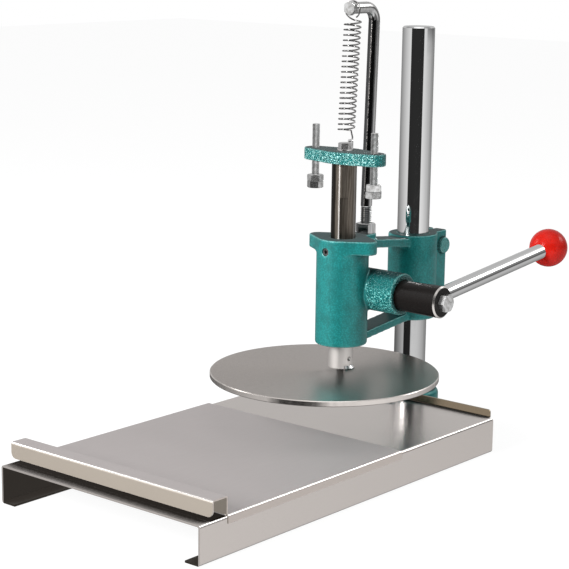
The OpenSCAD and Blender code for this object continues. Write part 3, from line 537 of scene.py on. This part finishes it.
@dataclass(frozen=True)
class TurnedDisc:
    """Stainless plate, faced on a lathe.

    It gives the eye a shine that fans out from the middle, and a glossier rim with a painted highlight.
    """

    name: str = "turned_disc_steel"
    face: str = "#c4bcb7"
    groove_tone: str = "#b0a8a2"
    # A painted highlight on the rim.
    rim: str = "#dcd5d0"
    centre: Pair = (0.0, -152.3 * MM)
    rim_from: Span = (118.4 * MM, 119.1 * MM)
    # The grooves are drawn 0.3 mm apart, coarser than the real ones, so that they show.
    groove: float = 0.3 * MM
    groove_depth: float = 0.01 * MM
    groove_felt: float = 0.4
    grooved: Span = (0.3, 0.7)
    round_scale: float = 0.004
    groove_rough: float = 0.3
    rim_gloss: float = 0.1
    rough: Span = (-0.2, 0.9)
    brushed: float = 0.5

    def material(self) -> bpy.types.Material:
        """Makes the disc's face.

        Returns:
            The material.
        """
        s = ShaderSheet(self.name)
        dx, dy, far = s.away(s.x, s.y, self.centre)
        turn = s.add(Kind.TIMES, s.add(Kind.ANGLE, dy, dx), self.round_scale)
        grooves = s.add(Kind.NOISE, s.add(Kind.UNITE, far, turn), 1 / self.groove, FINE)
        # The rim is glossier, and paler by a painted highlight.
        rim = s.add(Kind.EASE, far, *self.rim_from)
        face = s.add(Kind.BLEND, s.add(Kind.EASE, grooves, *self.grooved), self.face, self.groove_tone)
        uneven = s.add(Kind.TIMES, grooves, self.groove_rough)
        hazy = s.add(Kind.MINUS, uneven, s.add(Kind.TIMES, rim, self.rim_gloss))
        return s.finish(
            Base_Color=s.add(Kind.BLEND, rim, face, self.rim),
            Metallic=1.0,
            Roughness=s.add(Kind.RAMP, hazy, *self.rough),
            Anisotropic=self.brushed,
            Tangent=s.add(Kind.ROUND_Z),
            Normal=s.add(Kind.BUMP, grooves, self.groove_depth, self.groove_felt),
        )


@dataclass(frozen=True)
class Chrome:
    """Hard chrome on ground bar.

    It gives the eye a mirror with only a breath of haze, and a painted reflection that greys it low down on
    the column.
    """

    name: str = "hard_chrome"
    tone: str = "#e4e4e4"
    hazed: str = "#e2e2e2"
    # The column is painted greyer low down, a painted reflection.
    low_painted_reflection: str = "#bcbcbc"
    low: Span = (132 * MM, 126 * MM)
    patch: float = 9 * MM
    rough: Span = (0.0, 10.0)
    # The ripple of the grinding is drawn 0.5 mm wide, coarser than it is, so that it shows.
    ripple: float = 0.5 * MM
    ripple_depth: float = 0.002 * MM
    ripple_felt: float = 0.3

    def material(self) -> bpy.types.Material:
        """Makes the chrome.

        Returns:
            The material.
        """
        s = ShaderSheet(self.name)
        haze = s.add(Kind.NOISE, s.place, 1 / self.patch, FINE)
        plate = s.add(Kind.BLEND, haze, self.tone, self.hazed)
        ripple = s.add(Kind.NOISE, s.place, 1 / self.ripple, PLAIN)
        return s.finish(
            Base_Color=s.add(Kind.BLEND, s.add(Kind.EASE, s.z, *self.low), plate, self.low_painted_reflection),
            Metallic=1.0,
            Roughness=s.add(Kind.RAMP, haze, *self.rough),
            Normal=s.add(Kind.BUMP, ripple, self.ripple_depth, self.ripple_felt),
        )


@dataclass(frozen=True)
class DrawnBar:
    """Cold drawn steel bar.

    It gives the eye a brown grey shine with drawing lines along Z, a broken painted highlight line,
    a second, fainter painted highlight, a band of painted dark reflection and a paler, rougher foot.
    Each way is a direction round the bar, in degrees from +X.
    """

    name: str = "drawn_bar"
    tone: str = "#7d756c"
    dull: str = "#554e46"
    # The pale colour of the painted highlights and of the foot.
    bright: str = "#e0dbd7"
    # The colour of a painted dark reflection.
    dark_reflection: str = "#13110f"
    # Below this height the bar is paler and rougher.
    paler_below: float = 0.0
    paler_fade: float = 0.5 * MM
    haze: float = 0.36
    # The drawing lines are drawn about 1 mm wide, coarser than the real ones, so that they show.
    grain: float = 1.2 * MM
    grain_scale: Place = (1.0, 1.0, 0.05)
    grain_depth: float = 0.02 * MM
    grain_felt: float = 0.35
    grain_rough: float = 0.12
    lined: Span = (0.3, 0.7)
    mottle: float = 2 * MM
    broken: float = 0.1
    broken_fade: float = 0.15
    fade: float = 8.0
    # A painted highlight line, broken up by noise.
    highlight_way: float = -74.0
    highlight_half: float = 1.2
    highlight_fade: float = 3.0
    # A band of painted dark reflection.
    dark_reflection_way: float = -112.0
    dark_reflection_half: float = 14.0
    dark_reflection_share: float = 0.85
    # A second, fainter painted highlight.
    second_way: float = 8.0
    second_half: float = 4.0
    second_share: float = 0.3
    # The band of painted dark reflection lies on what stands upright, and on the flanks of the thread at the
    # foot.
    upright: Span = (0.55, 0.25)
    flank: Span = (0.95, 0.9)
    thread_z: Span = (258 * MM, 257 * MM)

    def stripe(self, s: ShaderSheet, way: float, half: float, fade: float) -> Socket:
        """Marks a stripe along the bar, by the way its surface faces.

        Args:
            s: the sheet.
            way: the direction of the middle of the stripe.
            half: half of the arc that it covers.
            fade: the arc over which it fades.

        Returns:
            How much of the stripe is at a point, from 0 to 1.
        """
        turn = s.add(Kind.DEGREES, s.add(Kind.ANGLE, s.ny, s.nx))
        off = s.add(Kind.UNSIGNED, s.add(Kind.MINUS, turn, way))
        return s.add(Kind.EASE, off, half + fade, half)

    def colour(self, s: ShaderSheet, line: Socket) -> Socket:
        """Mixes the bar's colour above its paler foot.

        Args:
            s: the sheet.
            line: the drawing lines.

        Returns:
            The colour.
        """
        steep = s.add(Kind.UNSIGNED, s.nz)
        low = s.add(Kind.EASE, s.z, *self.thread_z)
        thread = s.add(Kind.TIMES, s.add(Kind.EASE, steep, *self.flank), low)
        upright = s.add(Kind.LARGER, s.add(Kind.EASE, steep, *self.upright), thread)
        body = s.add(Kind.BLEND, s.add(Kind.EASE, line, *self.lined), self.tone, self.dull)
        # A band of painted dark reflection on what stands upright.
        band = self.stripe(s, self.dark_reflection_way, self.dark_reflection_half, self.fade)
        body = s.add(Kind.BLEND, s.fold(Kind.TIMES, band, upright, self.dark_reflection_share), body, self.dark_reflection)
        # A second, fainter painted highlight.
        second = self.stripe(s, self.second_way, self.second_half, self.fade)
        body = s.add(Kind.BLEND, s.add(Kind.TIMES, second, self.second_share), body, self.bright)
        spots = s.add(Kind.NOISE, s.place, 1 / self.mottle, PLAIN)
        whole = s.add(Kind.EASE, spots, self.broken - self.broken_fade, self.broken)
        # A painted highlight line, broken up by noise.
        ground = self.stripe(s, self.highlight_way, self.highlight_half, self.highlight_fade)
        return s.add(Kind.BLEND, s.add(Kind.TIMES, ground, whole), body, self.bright)

    def material(self) -> bpy.types.Material:
        """Makes the bar.

        Returns:
            The material.
        """
        s = ShaderSheet(self.name)
        line = s.add(Kind.NOISE, s.add(Kind.STRETCH, s.place, self.grain_scale), 1 / self.grain, FINE)
        foot = s.add(Kind.EASE, s.z, self.paler_below + self.paler_fade, self.paler_below - self.paler_fade)
        uneven = s.add(Kind.TIMES, s.add(Kind.PLUS, line, foot), self.grain_rough)
        return s.finish(
            Base_Color=s.add(Kind.BLEND, foot, self.colour(s, line), self.bright),
            Metallic=1.0,
            Roughness=s.add(Kind.PLUS, self.haze, uneven),
            Normal=s.add(Kind.BUMP, line, self.grain_depth, self.grain_felt),
        )


@dataclass(frozen=True)
class ZincPlate:
    """Bright zinc, plated on screws, nuts and wire.

    It gives the eye a cold, cloudy shine, with painted shade in the nooks and painted dark lines
    along the edges of a nut.
    """

    name: str = "zinc_plate"
    tone: str = "#f2f2f2"
    dull: str = "#c4c3c1"
    rough: float = 0.17
    # Painted shade in the nooks and along the edges.
    nook_shade: str = "#2f2e2d"
    patch: float = 4 * MM
    clouded: Span = (0.35, 0.7)
    patch_rough: float = 0.08
    nook: float = 1.6 * MM
    open_air: Span = (0.2, 0.75)
    edge: float = 0.9 * MM
    off_edge: Span = (0.3, 0.8)
    # The ripple of the plating is drawn 1.8 mm wide, coarser than it is, so that a facet shows it.
    ripple: float = 1.8 * MM
    ripple_depth: float = 0.1 * MM
    ripple_felt: float = 0.6

    def material(self) -> bpy.types.Material:
        """Makes the plating.

        Returns:
            The material.
        """
        s = ShaderSheet(self.name)
        patches = s.add(Kind.NOISE, s.place, 1 / self.patch, PLAIN)
        # Painted shade in the nooks, and painted dark lines along the edges of a nut.
        unshaded = s.add(
            Kind.TIMES,
            s.add(Kind.EASE, s.add(Kind.OPENNESS, self.nook), *self.open_air),
            s.add(Kind.EASE, s.add(Kind.BULK, self.edge), *self.off_edge),
        )
        plate = s.add(Kind.BLEND, s.add(Kind.EASE, patches, *self.clouded), self.tone, self.dull)
        ripple = s.add(Kind.NOISE, s.place, 1 / self.ripple, PLAIN)
        return s.finish(
            Base_Color=s.add(Kind.BLEND, unshaded, self.nook_shade, plate),
            Metallic=1.0,
            Roughness=s.add(Kind.PLUS, self.rough, s.add(Kind.TIMES, patches, self.patch_rough)),
            Normal=s.add(Kind.BUMP, ripple, self.ripple_depth, self.ripple_felt),
        )


@dataclass(frozen=True)
class BlackedSteel:
    """Turned steel, blacked in hot oil.

    It gives the eye a brown black with a dull shine, and a bright ring where the chamfer of the
    outer end is worn.
    """

    name: str = "blacked_steel"
    tone: str = "#0d0a09"
    brown: str = "#171210"
    bright: str = "#d8d3cf"
    end_x: Span = (110.45 * MM, 110.55 * MM)
    end_radius: Span = (15.05 * MM, 15.2 * MM)
    axis: Pair = (-101 * MM, 172.9 * MM)
    # The grain of the blacking is drawn 0.6 mm wide, coarser than it is, so that it shows.
    grain: float = 0.6 * MM
    grain_depth: float = 0.012 * MM
    grain_felt: float = 0.4
    rough: Span = (-1.0, 4.2)
    specular: float = 0.18

    def material(self) -> bpy.types.Material:
        """Makes the blacking.

        Returns:
            The material.
        """
        s = ShaderSheet(self.name)
        far = s.away(s.y, s.z, self.axis)[2]
        wear_and_highlight = s.add(Kind.TIMES, s.add(Kind.EASE, s.x, *self.end_x), s.add(Kind.EASE, far, *self.end_radius))
        grain = s.add(Kind.NOISE, s.place, 1 / self.grain, FINE)
        black = s.add(Kind.BLEND, grain, self.tone, self.brown)
        return s.finish(
            Base_Color=s.add(Kind.BLEND, wear_and_highlight, black, self.bright),
            Metallic=wear_and_highlight,
            Roughness=s.add(Kind.RAMP, grain, *self.rough),
            Specular_IOR_Level=self.specular,
            Normal=s.add(Kind.BUMP, grain, self.grain_depth, self.grain_felt),
        )


@dataclass(frozen=True)
class RedPhenolic:
    """Phenolic resin, moulded as a ball and polished.

    It gives the eye an even, deep red with one small highlight.
    """

    name: str = "red_phenolic"
    tone: str = "#e22216"
    deep: str = "#d61d12"
    patch: float = 8 * MM
    clouded: Span = (0.3, 0.7)
    # The ripple of the polish is drawn 0.8 mm wide, coarser than it is, so that it shows.
    ripple: float = 0.8 * MM
    ripple_depth: float = 0.004 * MM
    ripple_felt: float = 0.1
    rough: float = 0.26
    specular: float = 0.12
    coat: float = 0.14
    coat_rough: float = 0.05

    def material(self) -> bpy.types.Material:
        """Makes the resin.

        Returns:
            The material.
        """
        s = ShaderSheet(self.name)
        patches = s.add(Kind.EASE, s.add(Kind.NOISE, s.place, 1 / self.patch, PLAIN), *self.clouded)
        ripple = s.add(Kind.NOISE, s.place, 1 / self.ripple, PLAIN)
        return s.finish(
            Base_Color=s.add(Kind.BLEND, patches, self.tone, self.deep),
            Roughness=self.rough,
            Specular_IOR_Level=self.specular,
            Coat_Weight=self.coat,
            Coat_Roughness=self.coat_rough,
            Normal=s.add(Kind.BUMP, ripple, self.ripple_depth, self.ripple_felt),
        )


class Finishes:
    """One material for each finish of the press."""

    def __init__(self) -> None:
        """Makes the materials once."""
        self.paint = HammeredPaint().material()
        self.base_sheet = FoldedStainless(
            "base_stainless", 0.24, inside=(127.35 * MM, 36.1 * MM), lip=(-27 * MM, 38 * MM), shelter=26 * MM
        ).material()
        # The tray's faces that lean away from up get a darker, warmer painted shade, and its faces to the
        # side a painted light.
        self.tray_sheet = FoldedStainless(
            "tray_stainless", 0.66, tone="#c6c0bf", shade="#c2bcbb", side="#bfb6ab", skirt_painted_light="#e5dcd6"
        ).material()
        self.disc = TurnedDisc().material()
        self.chrome = Chrome().material()
        self.ram_bar = DrawnBar("ram_bar", paler_below=117 * MM).material()
        # On the post, a wide band of painted dark reflection and a narrow painted highlight line.
        self.post_bar = DrawnBar(
            "post_bar", tone="#d6d6d6", dull="#b0b0b0", dark_reflection="#1b1c1d", haze=0.08, broken=0.5,
            highlight_way=-76, highlight_half=3.5, dark_reflection_way=-81, dark_reflection_half=58,
        ).material()
        self.zinc = ZincPlate().material()
        self.wire = ZincPlate("spring_wire", "#8d8c8b", "#5f5e5d", 0.12).material()
        self.black = BlackedSteel().material()
        self.red = RedPhenolic().material()


def dress(node: str, material: bpy.types.Material, mirrored: bool = True) -> None:
    """Gives a solid its finish.

    Args:
        node: the solid's name.
        material: the finish.
        mirrored: whether shiny things mirror it.
    """
    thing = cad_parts[node]
    thing.data.materials.clear()
    thing.data.materials.append(material)
    thing.visible_glossy = mirrored
    LOG.info("dressed %s in %s", node, material.name)


def new_piece(
    name: str, mesh: bmesh.types.BMesh, material: bpy.types.Material, smooth: float = 40.0
) -> bpy.types.Object:
    """Turns a bmesh into a piece in the scene.

    Args:
        name: the piece's name.
        mesh: the bmesh, which is freed.
        material: its finish.
        smooth: the angle below which an edge is shaded smooth, in degrees.

    Returns:
        The new object, at the origin.
    """
    for face in mesh.faces:
        face.smooth = True
    for edge in mesh.edges:
        if len(edge.link_faces) == 2 and edge.calc_face_angle(0.0) > math.radians(smooth):
            edge.smooth = False
    data = bpy.data.meshes.new(name)
    mesh.to_mesh(data)
    mesh.free()
    data.materials.append(material)
    thing = bpy.data.objects.new(name, data)
    bpy.context.scene.collection.objects.link(thing)
    LOG.info("built %s, %d faces", name, len(data.polygons))
    return thing


@dataclass
class CastParts:
    """The painted iron: the head casting, the crosshead and the foot."""

    merge: float = 0.002 * MM
    voxel: float = 1.14 * MM
    softness: float = 0.5
    rounds: int = 3

    def cast(self, node: str, material: bpy.types.Material) -> bpy.types.Object:
        """Makes a cast form from a solid: one skin with soft edges and filled corners.

        Args:
            node: the solid's name.
            material: the finish.

        Returns:
            The cast piece.
        """
        mesh = bmesh.new()
        mesh.from_mesh(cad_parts[node].data)
        bmesh.ops.remove_doubles(mesh, verts=mesh.verts, dist=self.merge)
        thing = new_piece(node + "_cast", mesh, material)
        skin = thing.modifiers.new("skin", "REMESH")
        skin.mode = "VOXEL"
        skin.voxel_size = self.voxel
        soft = thing.modifiers.new("soft", "SMOOTH")
        soft.factor = self.softness
        soft.iterations = self.rounds
        graph = bpy.context.evaluated_depsgraph_get()
        data = bpy.data.meshes.new_from_object(thing.evaluated_get(graph))
        thing.modifiers.clear()
        thing.data = data
        for face in data.polygons:
            face.use_smooth = True
        data.materials.clear()
        data.materials.append(material)
        LOG.info("cast %s, %d faces", thing.name, len(data.polygons))
        return thing

    def build(self, looks: Finishes) -> None:
        """Builds and dresses the castings.

        Args:
            looks: the finishes.
        """
        for node, body in (("head_casting", "head"), ("crosshead", "ram"), ("column_foot", "frame")):
            piece = self.cast(node, looks.paint)
            piece.visible_glossy = node != "crosshead"
            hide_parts(node)
            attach(piece, body)
        dress("clamp_screws", looks.paint)


@dataclass
class Sheets:
    """The folded base and the sliding tray."""

    def build(self, looks: Finishes) -> None:
        """Dresses the folded sheets.

        Args:
            looks: the finishes.
        """
        dress("base", looks.base_sheet, mirrored=False)
        dress("tray", looks.tray_sheet, mirrored=False)


@dataclass
class RamGroup:
    """The ram and its disc."""

    def build(self, looks: Finishes) -> None:
        """Dresses the ram and the disc.

        Args:
            looks: the finishes.
        """
        dress("ram", looks.ram_bar, mirrored=False)
        dress("press_disc", looks.disc, mirrored=False)


@dataclass
class Hardware:
    """Screws, nuts, bars and the lever."""

    mirrored: tuple[str, ...] = (
        "foot_screws", "disc_screw", "weld_tack", "far_washer", "far_bolt", "lever_bolt",
    )
    unmirrored: tuple[str, ...] = (
        "post_end_bolt", "top_bolt", "spring_tab", "stop_screw_left", "stop_screw_right",
        "stop_nut_left", "stop_nut_right",
    )

    def build(self, looks: Finishes) -> None:
        """Dresses the bought parts.

        Args:
            looks: the finishes.
        """
        for node in self.mirrored + self.unmirrored:
            dress(node, looks.zinc, mirrored=node in self.mirrored)
        dress("column", looks.chrome)
        dress("lever_rod", looks.chrome)
        dress("spring_post", looks.post_bar, mirrored=False)
        dress("post_nut", looks.post_bar, mirrored=False)
        dress("pinion_shaft", looks.black)
        dress("set_screw", looks.wire)
        dress("ball_knob", looks.red, mirrored=False)


@dataclass
class ReturnSpring:
    """The wound spring between the tab on the crosshead and the arm of the post.

    low, high, arm and tab are points in Y and Z, with Y counted from reach.
    """

    # The real wire is 1.4 mm thick, under a pixel wide, so it is drawn thicker.
    wire: float = 0.82 * MM
    sides: int = 8
    smooth: float = 80.0
    reach: float = -125 * MM
    radius: float = 8.4 * MM
    curls: int = 21
    ring: int = 28
    start: float = 90.0
    low: Pair = (1.8 * MM, 340.5 * MM)
    high: Pair = (9.1 * MM, 452.8 * MM)
    # The curls lean, and the lean grows over the first and the last eighth.
    tilt: float = 0.05
    tilt_way: float = math.radians(125)
    tilt_growth: float = 8.0
    # The lower hook, from its tip to the first curl, in bends from the tab, and its last point
    # in bends from the lowest curl.
    tab: Pair = (9.5 * MM, 329.1 * MM)
    bend: float = 0.7 * MM
    tip: tuple[Pair, ...] = (
        (-3.4, 0), (-1.8, 0), (0, 0), (1.8, 0), (3.2, 1), (4, 3), (4.4, 6), (3.4, 9),
    )
    last: Pair = (2, -4)
    # The upper hook: a quarter turn that rises from the curls, then a loop round the arm.
    arm: Pair = (9.1 * MM, 464.4 * MM)
    hook: float = 8.7 * MM
    rise_steps: int = 9
    rise_turn: float = 90.0
    rise_share: float = 0.6
    loop_steps: int = 24
    loop_step: float = 10.0

    def lower_hook(self) -> list[Vector]:
        """Bends the lower hook.

        Returns:
            The middle of the wire, from the hook's tip to the first curl.
        """
        w = self.bend
        tab_y, tab_z = self.tab
        points = [Vector((0, tab_y + across * w, tab_z + up * w)) for across, up in self.tip]
        across, up = self.last
        return points + [Vector((0, tab_y + across * w, self.low[1] + up * w))]

    def coil(self) -> list[Vector]:
        """Winds the curls.

        Returns:
            The middle of the wire, from the lowest curl to the highest.
        """
        points = []
        count = self.curls * self.ring
        for i in range(count + 1):
            u = i / count
            a = math.radians(self.start) + i * math.tau / self.ring
            y = self.low[0] + (self.high[0] - self.low[0]) * u
            z = self.low[1] + (self.high[1] - self.low[1]) * u
            growth = min(1, self.tilt_growth * u, self.tilt_growth * (1 - u))
            z += self.radius * self.tilt * math.cos(a - self.tilt_way) * growth
            points.append(Vector((self.radius * math.cos(a), y + self.radius * math.sin(a), z)))
        return points

    def upper_hook(self) -> list[Vector]:
        """Bends the upper hook.

        Returns:
            The middle of the wire, from the highest curl to the hook's tip.
        """
        points = []
        for i in range(1, self.rise_steps + 1):
            u = i / self.rise_steps
            a = math.radians(self.start + self.rise_turn * u)
            r = self.radius + (self.hook - self.radius) * u
            y = self.high[0] + self.radius * math.sin(a)
            rise = (self.arm[1] - self.high[1]) * u * u * self.rise_share
            points.append(Vector((r * math.cos(a), y, self.high[1] + rise)))
        for i in range(self.loop_steps + 1):
            a = math.radians(self.start + self.rise_turn - i * self.loop_step)
            z = self.arm[1] + self.hook * math.sin(a)
            points.append(Vector((self.hook * math.cos(a), self.arm[0], z)))
        return points

    def sweep(self, points: list[Vector]) -> bmesh.types.BMesh:
        """Draws the round wire along its middle line.

        Args:
            points: the middle line.

        Returns:
            The closed tube.
        """
        mesh = bmesh.new()
        side = Vector((1, 0, 0))
        rings = []
        for i, point in enumerate(points):
            ahead = (points[min(i + 1, len(points) - 1)] - points[max(i - 1, 0)]).normalized()
            side = (side - ahead * side.dot(ahead)).normalized()
            turn = Matrix((side, ahead.cross(side), ahead)).transposed().to_4x4()
            spot = Matrix.Translation(point) @ turn
            made = bmesh.ops.create_circle(mesh, segments=self.sides, radius=self.wire, matrix=spot)
            rings.append(made["verts"])
            if i:
                pair = [(v, ring) for ring in rings[-2:] for v in ring]
                edges = [e for v, ring in pair for e in v.link_edges if e.other_vert(v) in ring]
                bmesh.ops.bridge_loops(mesh, edges=list(dict.fromkeys(edges)))
        for ring in (rings[0], rings[-1]):
            bmesh.ops.contextual_create(mesh, geom=ring)
        bmesh.ops.recalc_face_normals(mesh, faces=mesh.faces)
        return mesh

    def build(self, looks: Finishes) -> None:
        """Builds the spring.

        Args:
            looks: the finishes.
        """
        line = self.lower_hook() + self.coil() + self.upper_hook()
        mesh = self.sweep([p + Vector((0, self.reach, 0)) for p in line])
        piece = new_piece("return_spring_wire", mesh, looks.wire, self.smooth)
        piece.visible_glossy = False
        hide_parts("return_spring")
        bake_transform(piece)


@dataclass(frozen=True)
class Panel:
    """A part of the room's wall, lit or dark.

    way is its direction seen from above, in degrees from +X. turn is the span of the cosine of
    the angle away from it, and each height is a span of the upward part of a direction.
    """

    way: float
    turn: Span
    heights: tuple[Span, ...]
    share: float = 1.0


@dataclass(frozen=True)
class Room:
    """What shiny things mirror: a plain white room with one dark side behind the camera."""

    fill: float = 0.28
    least_level: float = 0.001
    dark: Panel = Panel(-58.0, (0.674658, 0.714658), ((0.62, 0.5),), 0.97)
    lit: Panel = Panel(-14.0, (0.74, 0.82), ((-0.17, -0.23),))
    back: Panel = Panel(122.0, (0.6, 0.8), ((-0.02, 0.08),), 0.34)
    window: Panel = Panel(69.0, (0.975, 0.985), ((0.42, 0.44), (0.66, 0.64)), 0.7)
    skirting: Panel = Panel(45.0, (0.77, 0.87), ((-0.07, -0.05),), 0.82)
    climb: Span = (0.42, -0.04)
    wall: Span = (-1.6, 1.0)
    below_way: float = 20.0
    below_height: Span = (-0.08, -0.28)
    below_glow: float = 0.22

    def toward(self, s: NodeSheet, aim: tuple[Socket, ...], way: float) -> Socket:
        """Measures how nearly a direction points a given way, seen from above.

        Args:
            s: the world's sheet.
            aim: the direction's parts along X, Y and Z.
            way: the way to compare with.

        Returns:
            The cosine of the angle between them.
        """
        x, y, _ = aim
        level = s.add(Kind.ROOT, s.add(Kind.PLUS, s.add(Kind.TIMES, x, x), s.add(Kind.TIMES, y, y)))
        along_x = s.add(Kind.TIMES, x, math.cos(math.radians(way)))
        along_y = s.add(Kind.TIMES, y, math.sin(math.radians(way)))
        along = s.add(Kind.PLUS, along_x, along_y)
        return s.add(Kind.OVER, along, s.add(Kind.LARGER, level, self.least_level))

    def draw(self, s: NodeSheet, aim: tuple[Socket, ...], panel: Panel) -> Socket:
        """Draws a panel.

        Args:
            s: the world's sheet.
            aim: the direction's parts along X, Y and Z.
            panel: the panel.

        Returns:
            How much of it is in the direction.
        """
        across = s.add(Kind.EASE, self.toward(s, aim, panel.way), *panel.turn)
        heights = [s.add(Kind.EASE, aim[2], *height) for height in panel.heights]
        return s.fold(Kind.TIMES, across, *heights, panel.share)

    def glow(self, s: NodeSheet) -> Socket:
        """Draws the room.

        Args:
            s: the world's sheet.

        Returns:
            How bright it is in a direction, where 1 is white.
        """
        aim = tuple(s.add(Kind.SPLIT, s.add(Kind.AIM)).node.outputs)
        wall = s.add(Kind.RAMP, self.toward(s, aim, self.dark.way), *self.wall)
        low = s.add(Kind.EASE, aim[2], *self.below_height)
        below = s.fold(Kind.TIMES, low, self.toward(s, aim, self.below_way), self.below_glow)
        climb = s.add(Kind.RAMP, aim[2], *self.climb)
        skirting = s.add(Kind.TIMES, self.draw(s, aim, self.skirting), climb)
        lit = s.add(Kind.MINUS, 1.0, self.draw(s, aim, self.lit))
        dark = s.add(Kind.TIMES, self.draw(s, aim, self.dark), lit)
        room = s.fold(Kind.PLUS, wall, below, self.draw(s, aim, self.back))
        room = s.add(Kind.TIMES, room, s.add(Kind.MINUS, 1.0, skirting))
        room = s.add(Kind.PLUS, room, self.draw(s, aim, self.window))
        return s.add(Kind.TIMES, room, s.add(Kind.MINUS, 1.0, dark))

    def build(self) -> None:
        """Sets the world: white to the camera, the room to shiny things, and an even fill."""
        world = bpy.data.worlds.new("studio")
        bpy.context.scene.world = world
        world.use_nodes = True
        world.cycles.sampling_method = "NONE"
        s = NodeSheet(world.node_tree, "ShaderNodeOutputWorld")
        glossy = s.add(Kind.GLOSSY_RAY)
        plain = s.add(Kind.TIMES, s.add(Kind.MINUS, 1.0, glossy), self.fill)
        power = s.add(Kind.PLUS, plain, s.add(Kind.TIMES, glossy, self.glow(s)))
        power = s.fold(Kind.LARGER, power, s.add(Kind.CAMERA_RAY), s.add(Kind.GLASS_RAY))
        s.close(s.add(Kind.BACKGROUND, "#ffffff", power))


@dataclass(frozen=True)
class Floor:
    """The plain pale floor, which the camera sees nearly white."""

    half: float = 6.0
    drop: float = 0.2 * MM
    tone: str = "#fafafa"
    shade: str = "#f7f7f7"
    patch: float = 0.4
    rough: float = 0.9
    glow: float = 1.16
    glow_share: float = 0.78

    def build(self) -> None:
        """Lays the floor and keeps it out of mirror images."""
        mesh = bmesh.new()
        bmesh.ops.create_grid(mesh, x_segments=1, y_segments=1, size=self.half)
        bmesh.ops.translate(mesh, vec=(0, 0, -self.drop), verts=mesh.verts)
        s = ShaderSheet("pale_floor")
        patches = s.add(Kind.NOISE, s.place, 1 / self.patch, PLAIN)
        colour = s.add(Kind.BLEND, patches, self.tone, self.shade)
        material = s.finish(Base_Color=colour, Roughness=self.rough)
        glow = s.add(Kind.GLOW, "#ffffff", self.glow)
        share = s.add(Kind.TIMES, s.add(Kind.CAMERA_RAY), self.glow_share)
        s.close(s.add(Kind.MIX_SHADER, share, s.surface, glow))
        floor = new_piece("floor", mesh, material)
        floor.visible_glossy = False


@dataclass(frozen=True)
class Softbox:
    """A soft lamp: its name, where it hangs, its width and height, and its power in watts."""

    name: str
    place: Place
    size: Pair
    power: float

    def hang(self, target: Place) -> None:
        """Hangs the lamp.

        Args:
            target: the point that it looks at.
        """
        data = bpy.data.lights.new(self.name, "AREA")
        data.shape = "RECTANGLE"
        data.size, data.size_y = self.size
        data.energy = self.power
        lamp = bpy.data.objects.new(self.name, data)
        lamp.location = self.place
        lamp.rotation_euler = (Vector(target) - Vector(self.place)).to_track_quat("-Z", "Y").to_euler()
        bpy.context.scene.collection.objects.link(lamp)


@dataclass
class Studio:
    """Camera, room, floor and lamps."""

    focal_px: float = 1750.0
    frame_px: float = 569.0
    sensor: float = 36.0
    clip_end: float = 50.0
    yaw: float = math.radians(39.82)
    pitch: float = math.radians(11.65)
    roll: float = math.radians(0.791)
    eye: Place = (1.1056, -1.5453, 0.5493)
    target: Place = (0, -0.18, 0.2)
    lamps: tuple[Softbox, ...] = (
        Softbox("key", (-0.25, -2.3, 1.1), (0.6, 1.0), 54),
        Softbox("side", (-1.7, -1.0, 1.2), (0.8, 1.0), 8),
        Softbox("rim", (1.3, 1.7, 1.5), (1.0, 0.8), 9),
        Softbox("top", (0.1, -0.1, 2.2), (1.4, 1.2), 3),
    )

    def camera(self) -> None:
        """Places the camera as the photograph was taken."""
        cy, sy, cp, sp = math.cos(self.yaw), math.sin(self.yaw), math.cos(self.pitch), math.sin(self.pitch)
        ahead = Vector((-sy * cp, cy * cp, -sp))
        right = Vector((cy, sy, 0))
        up = right.cross(ahead)
        cr, sr = math.cos(self.roll), math.sin(self.roll)
        right, up = right * cr + up * sr, up * cr - right * sr
        data = bpy.data.cameras.new("portrait")
        data.sensor_width = self.sensor
        data.lens = self.focal_px * self.sensor / self.frame_px
        data.clip_end = self.clip_end
        camera = bpy.data.objects.new("portrait", data)
        turn = Matrix((right, up, -ahead)).transposed().to_4x4()
        camera.matrix_world = Matrix.Translation(Vector(self.eye)) @ turn
        bpy.context.scene.collection.objects.link(camera)
        bpy.context.scene.camera = camera

    def build(self) -> None:
        """Sets the whole studio."""
        bpy.context.scene.view_settings.view_transform = "Standard"
        self.camera()
        Room().build()
        Floor().build()
        for lamp in self.lamps:
            lamp.hang(self.target)
        LOG.info("set the studio with %d lamps", len(self.lamps))


def main() -> None:
    """Builds and dresses the press, part by part, then sets the studio."""
    logging.basicConfig(level=logging.INFO)
    looks = Finishes()
    for group in (CastParts(), Sheets(), RamGroup(), Hardware(), ReturnSpring()):
        LOG.info("building %s", type(group).__name__)
        group.build(looks)
    Studio().build()


if __name__ == "__main__":
    main()
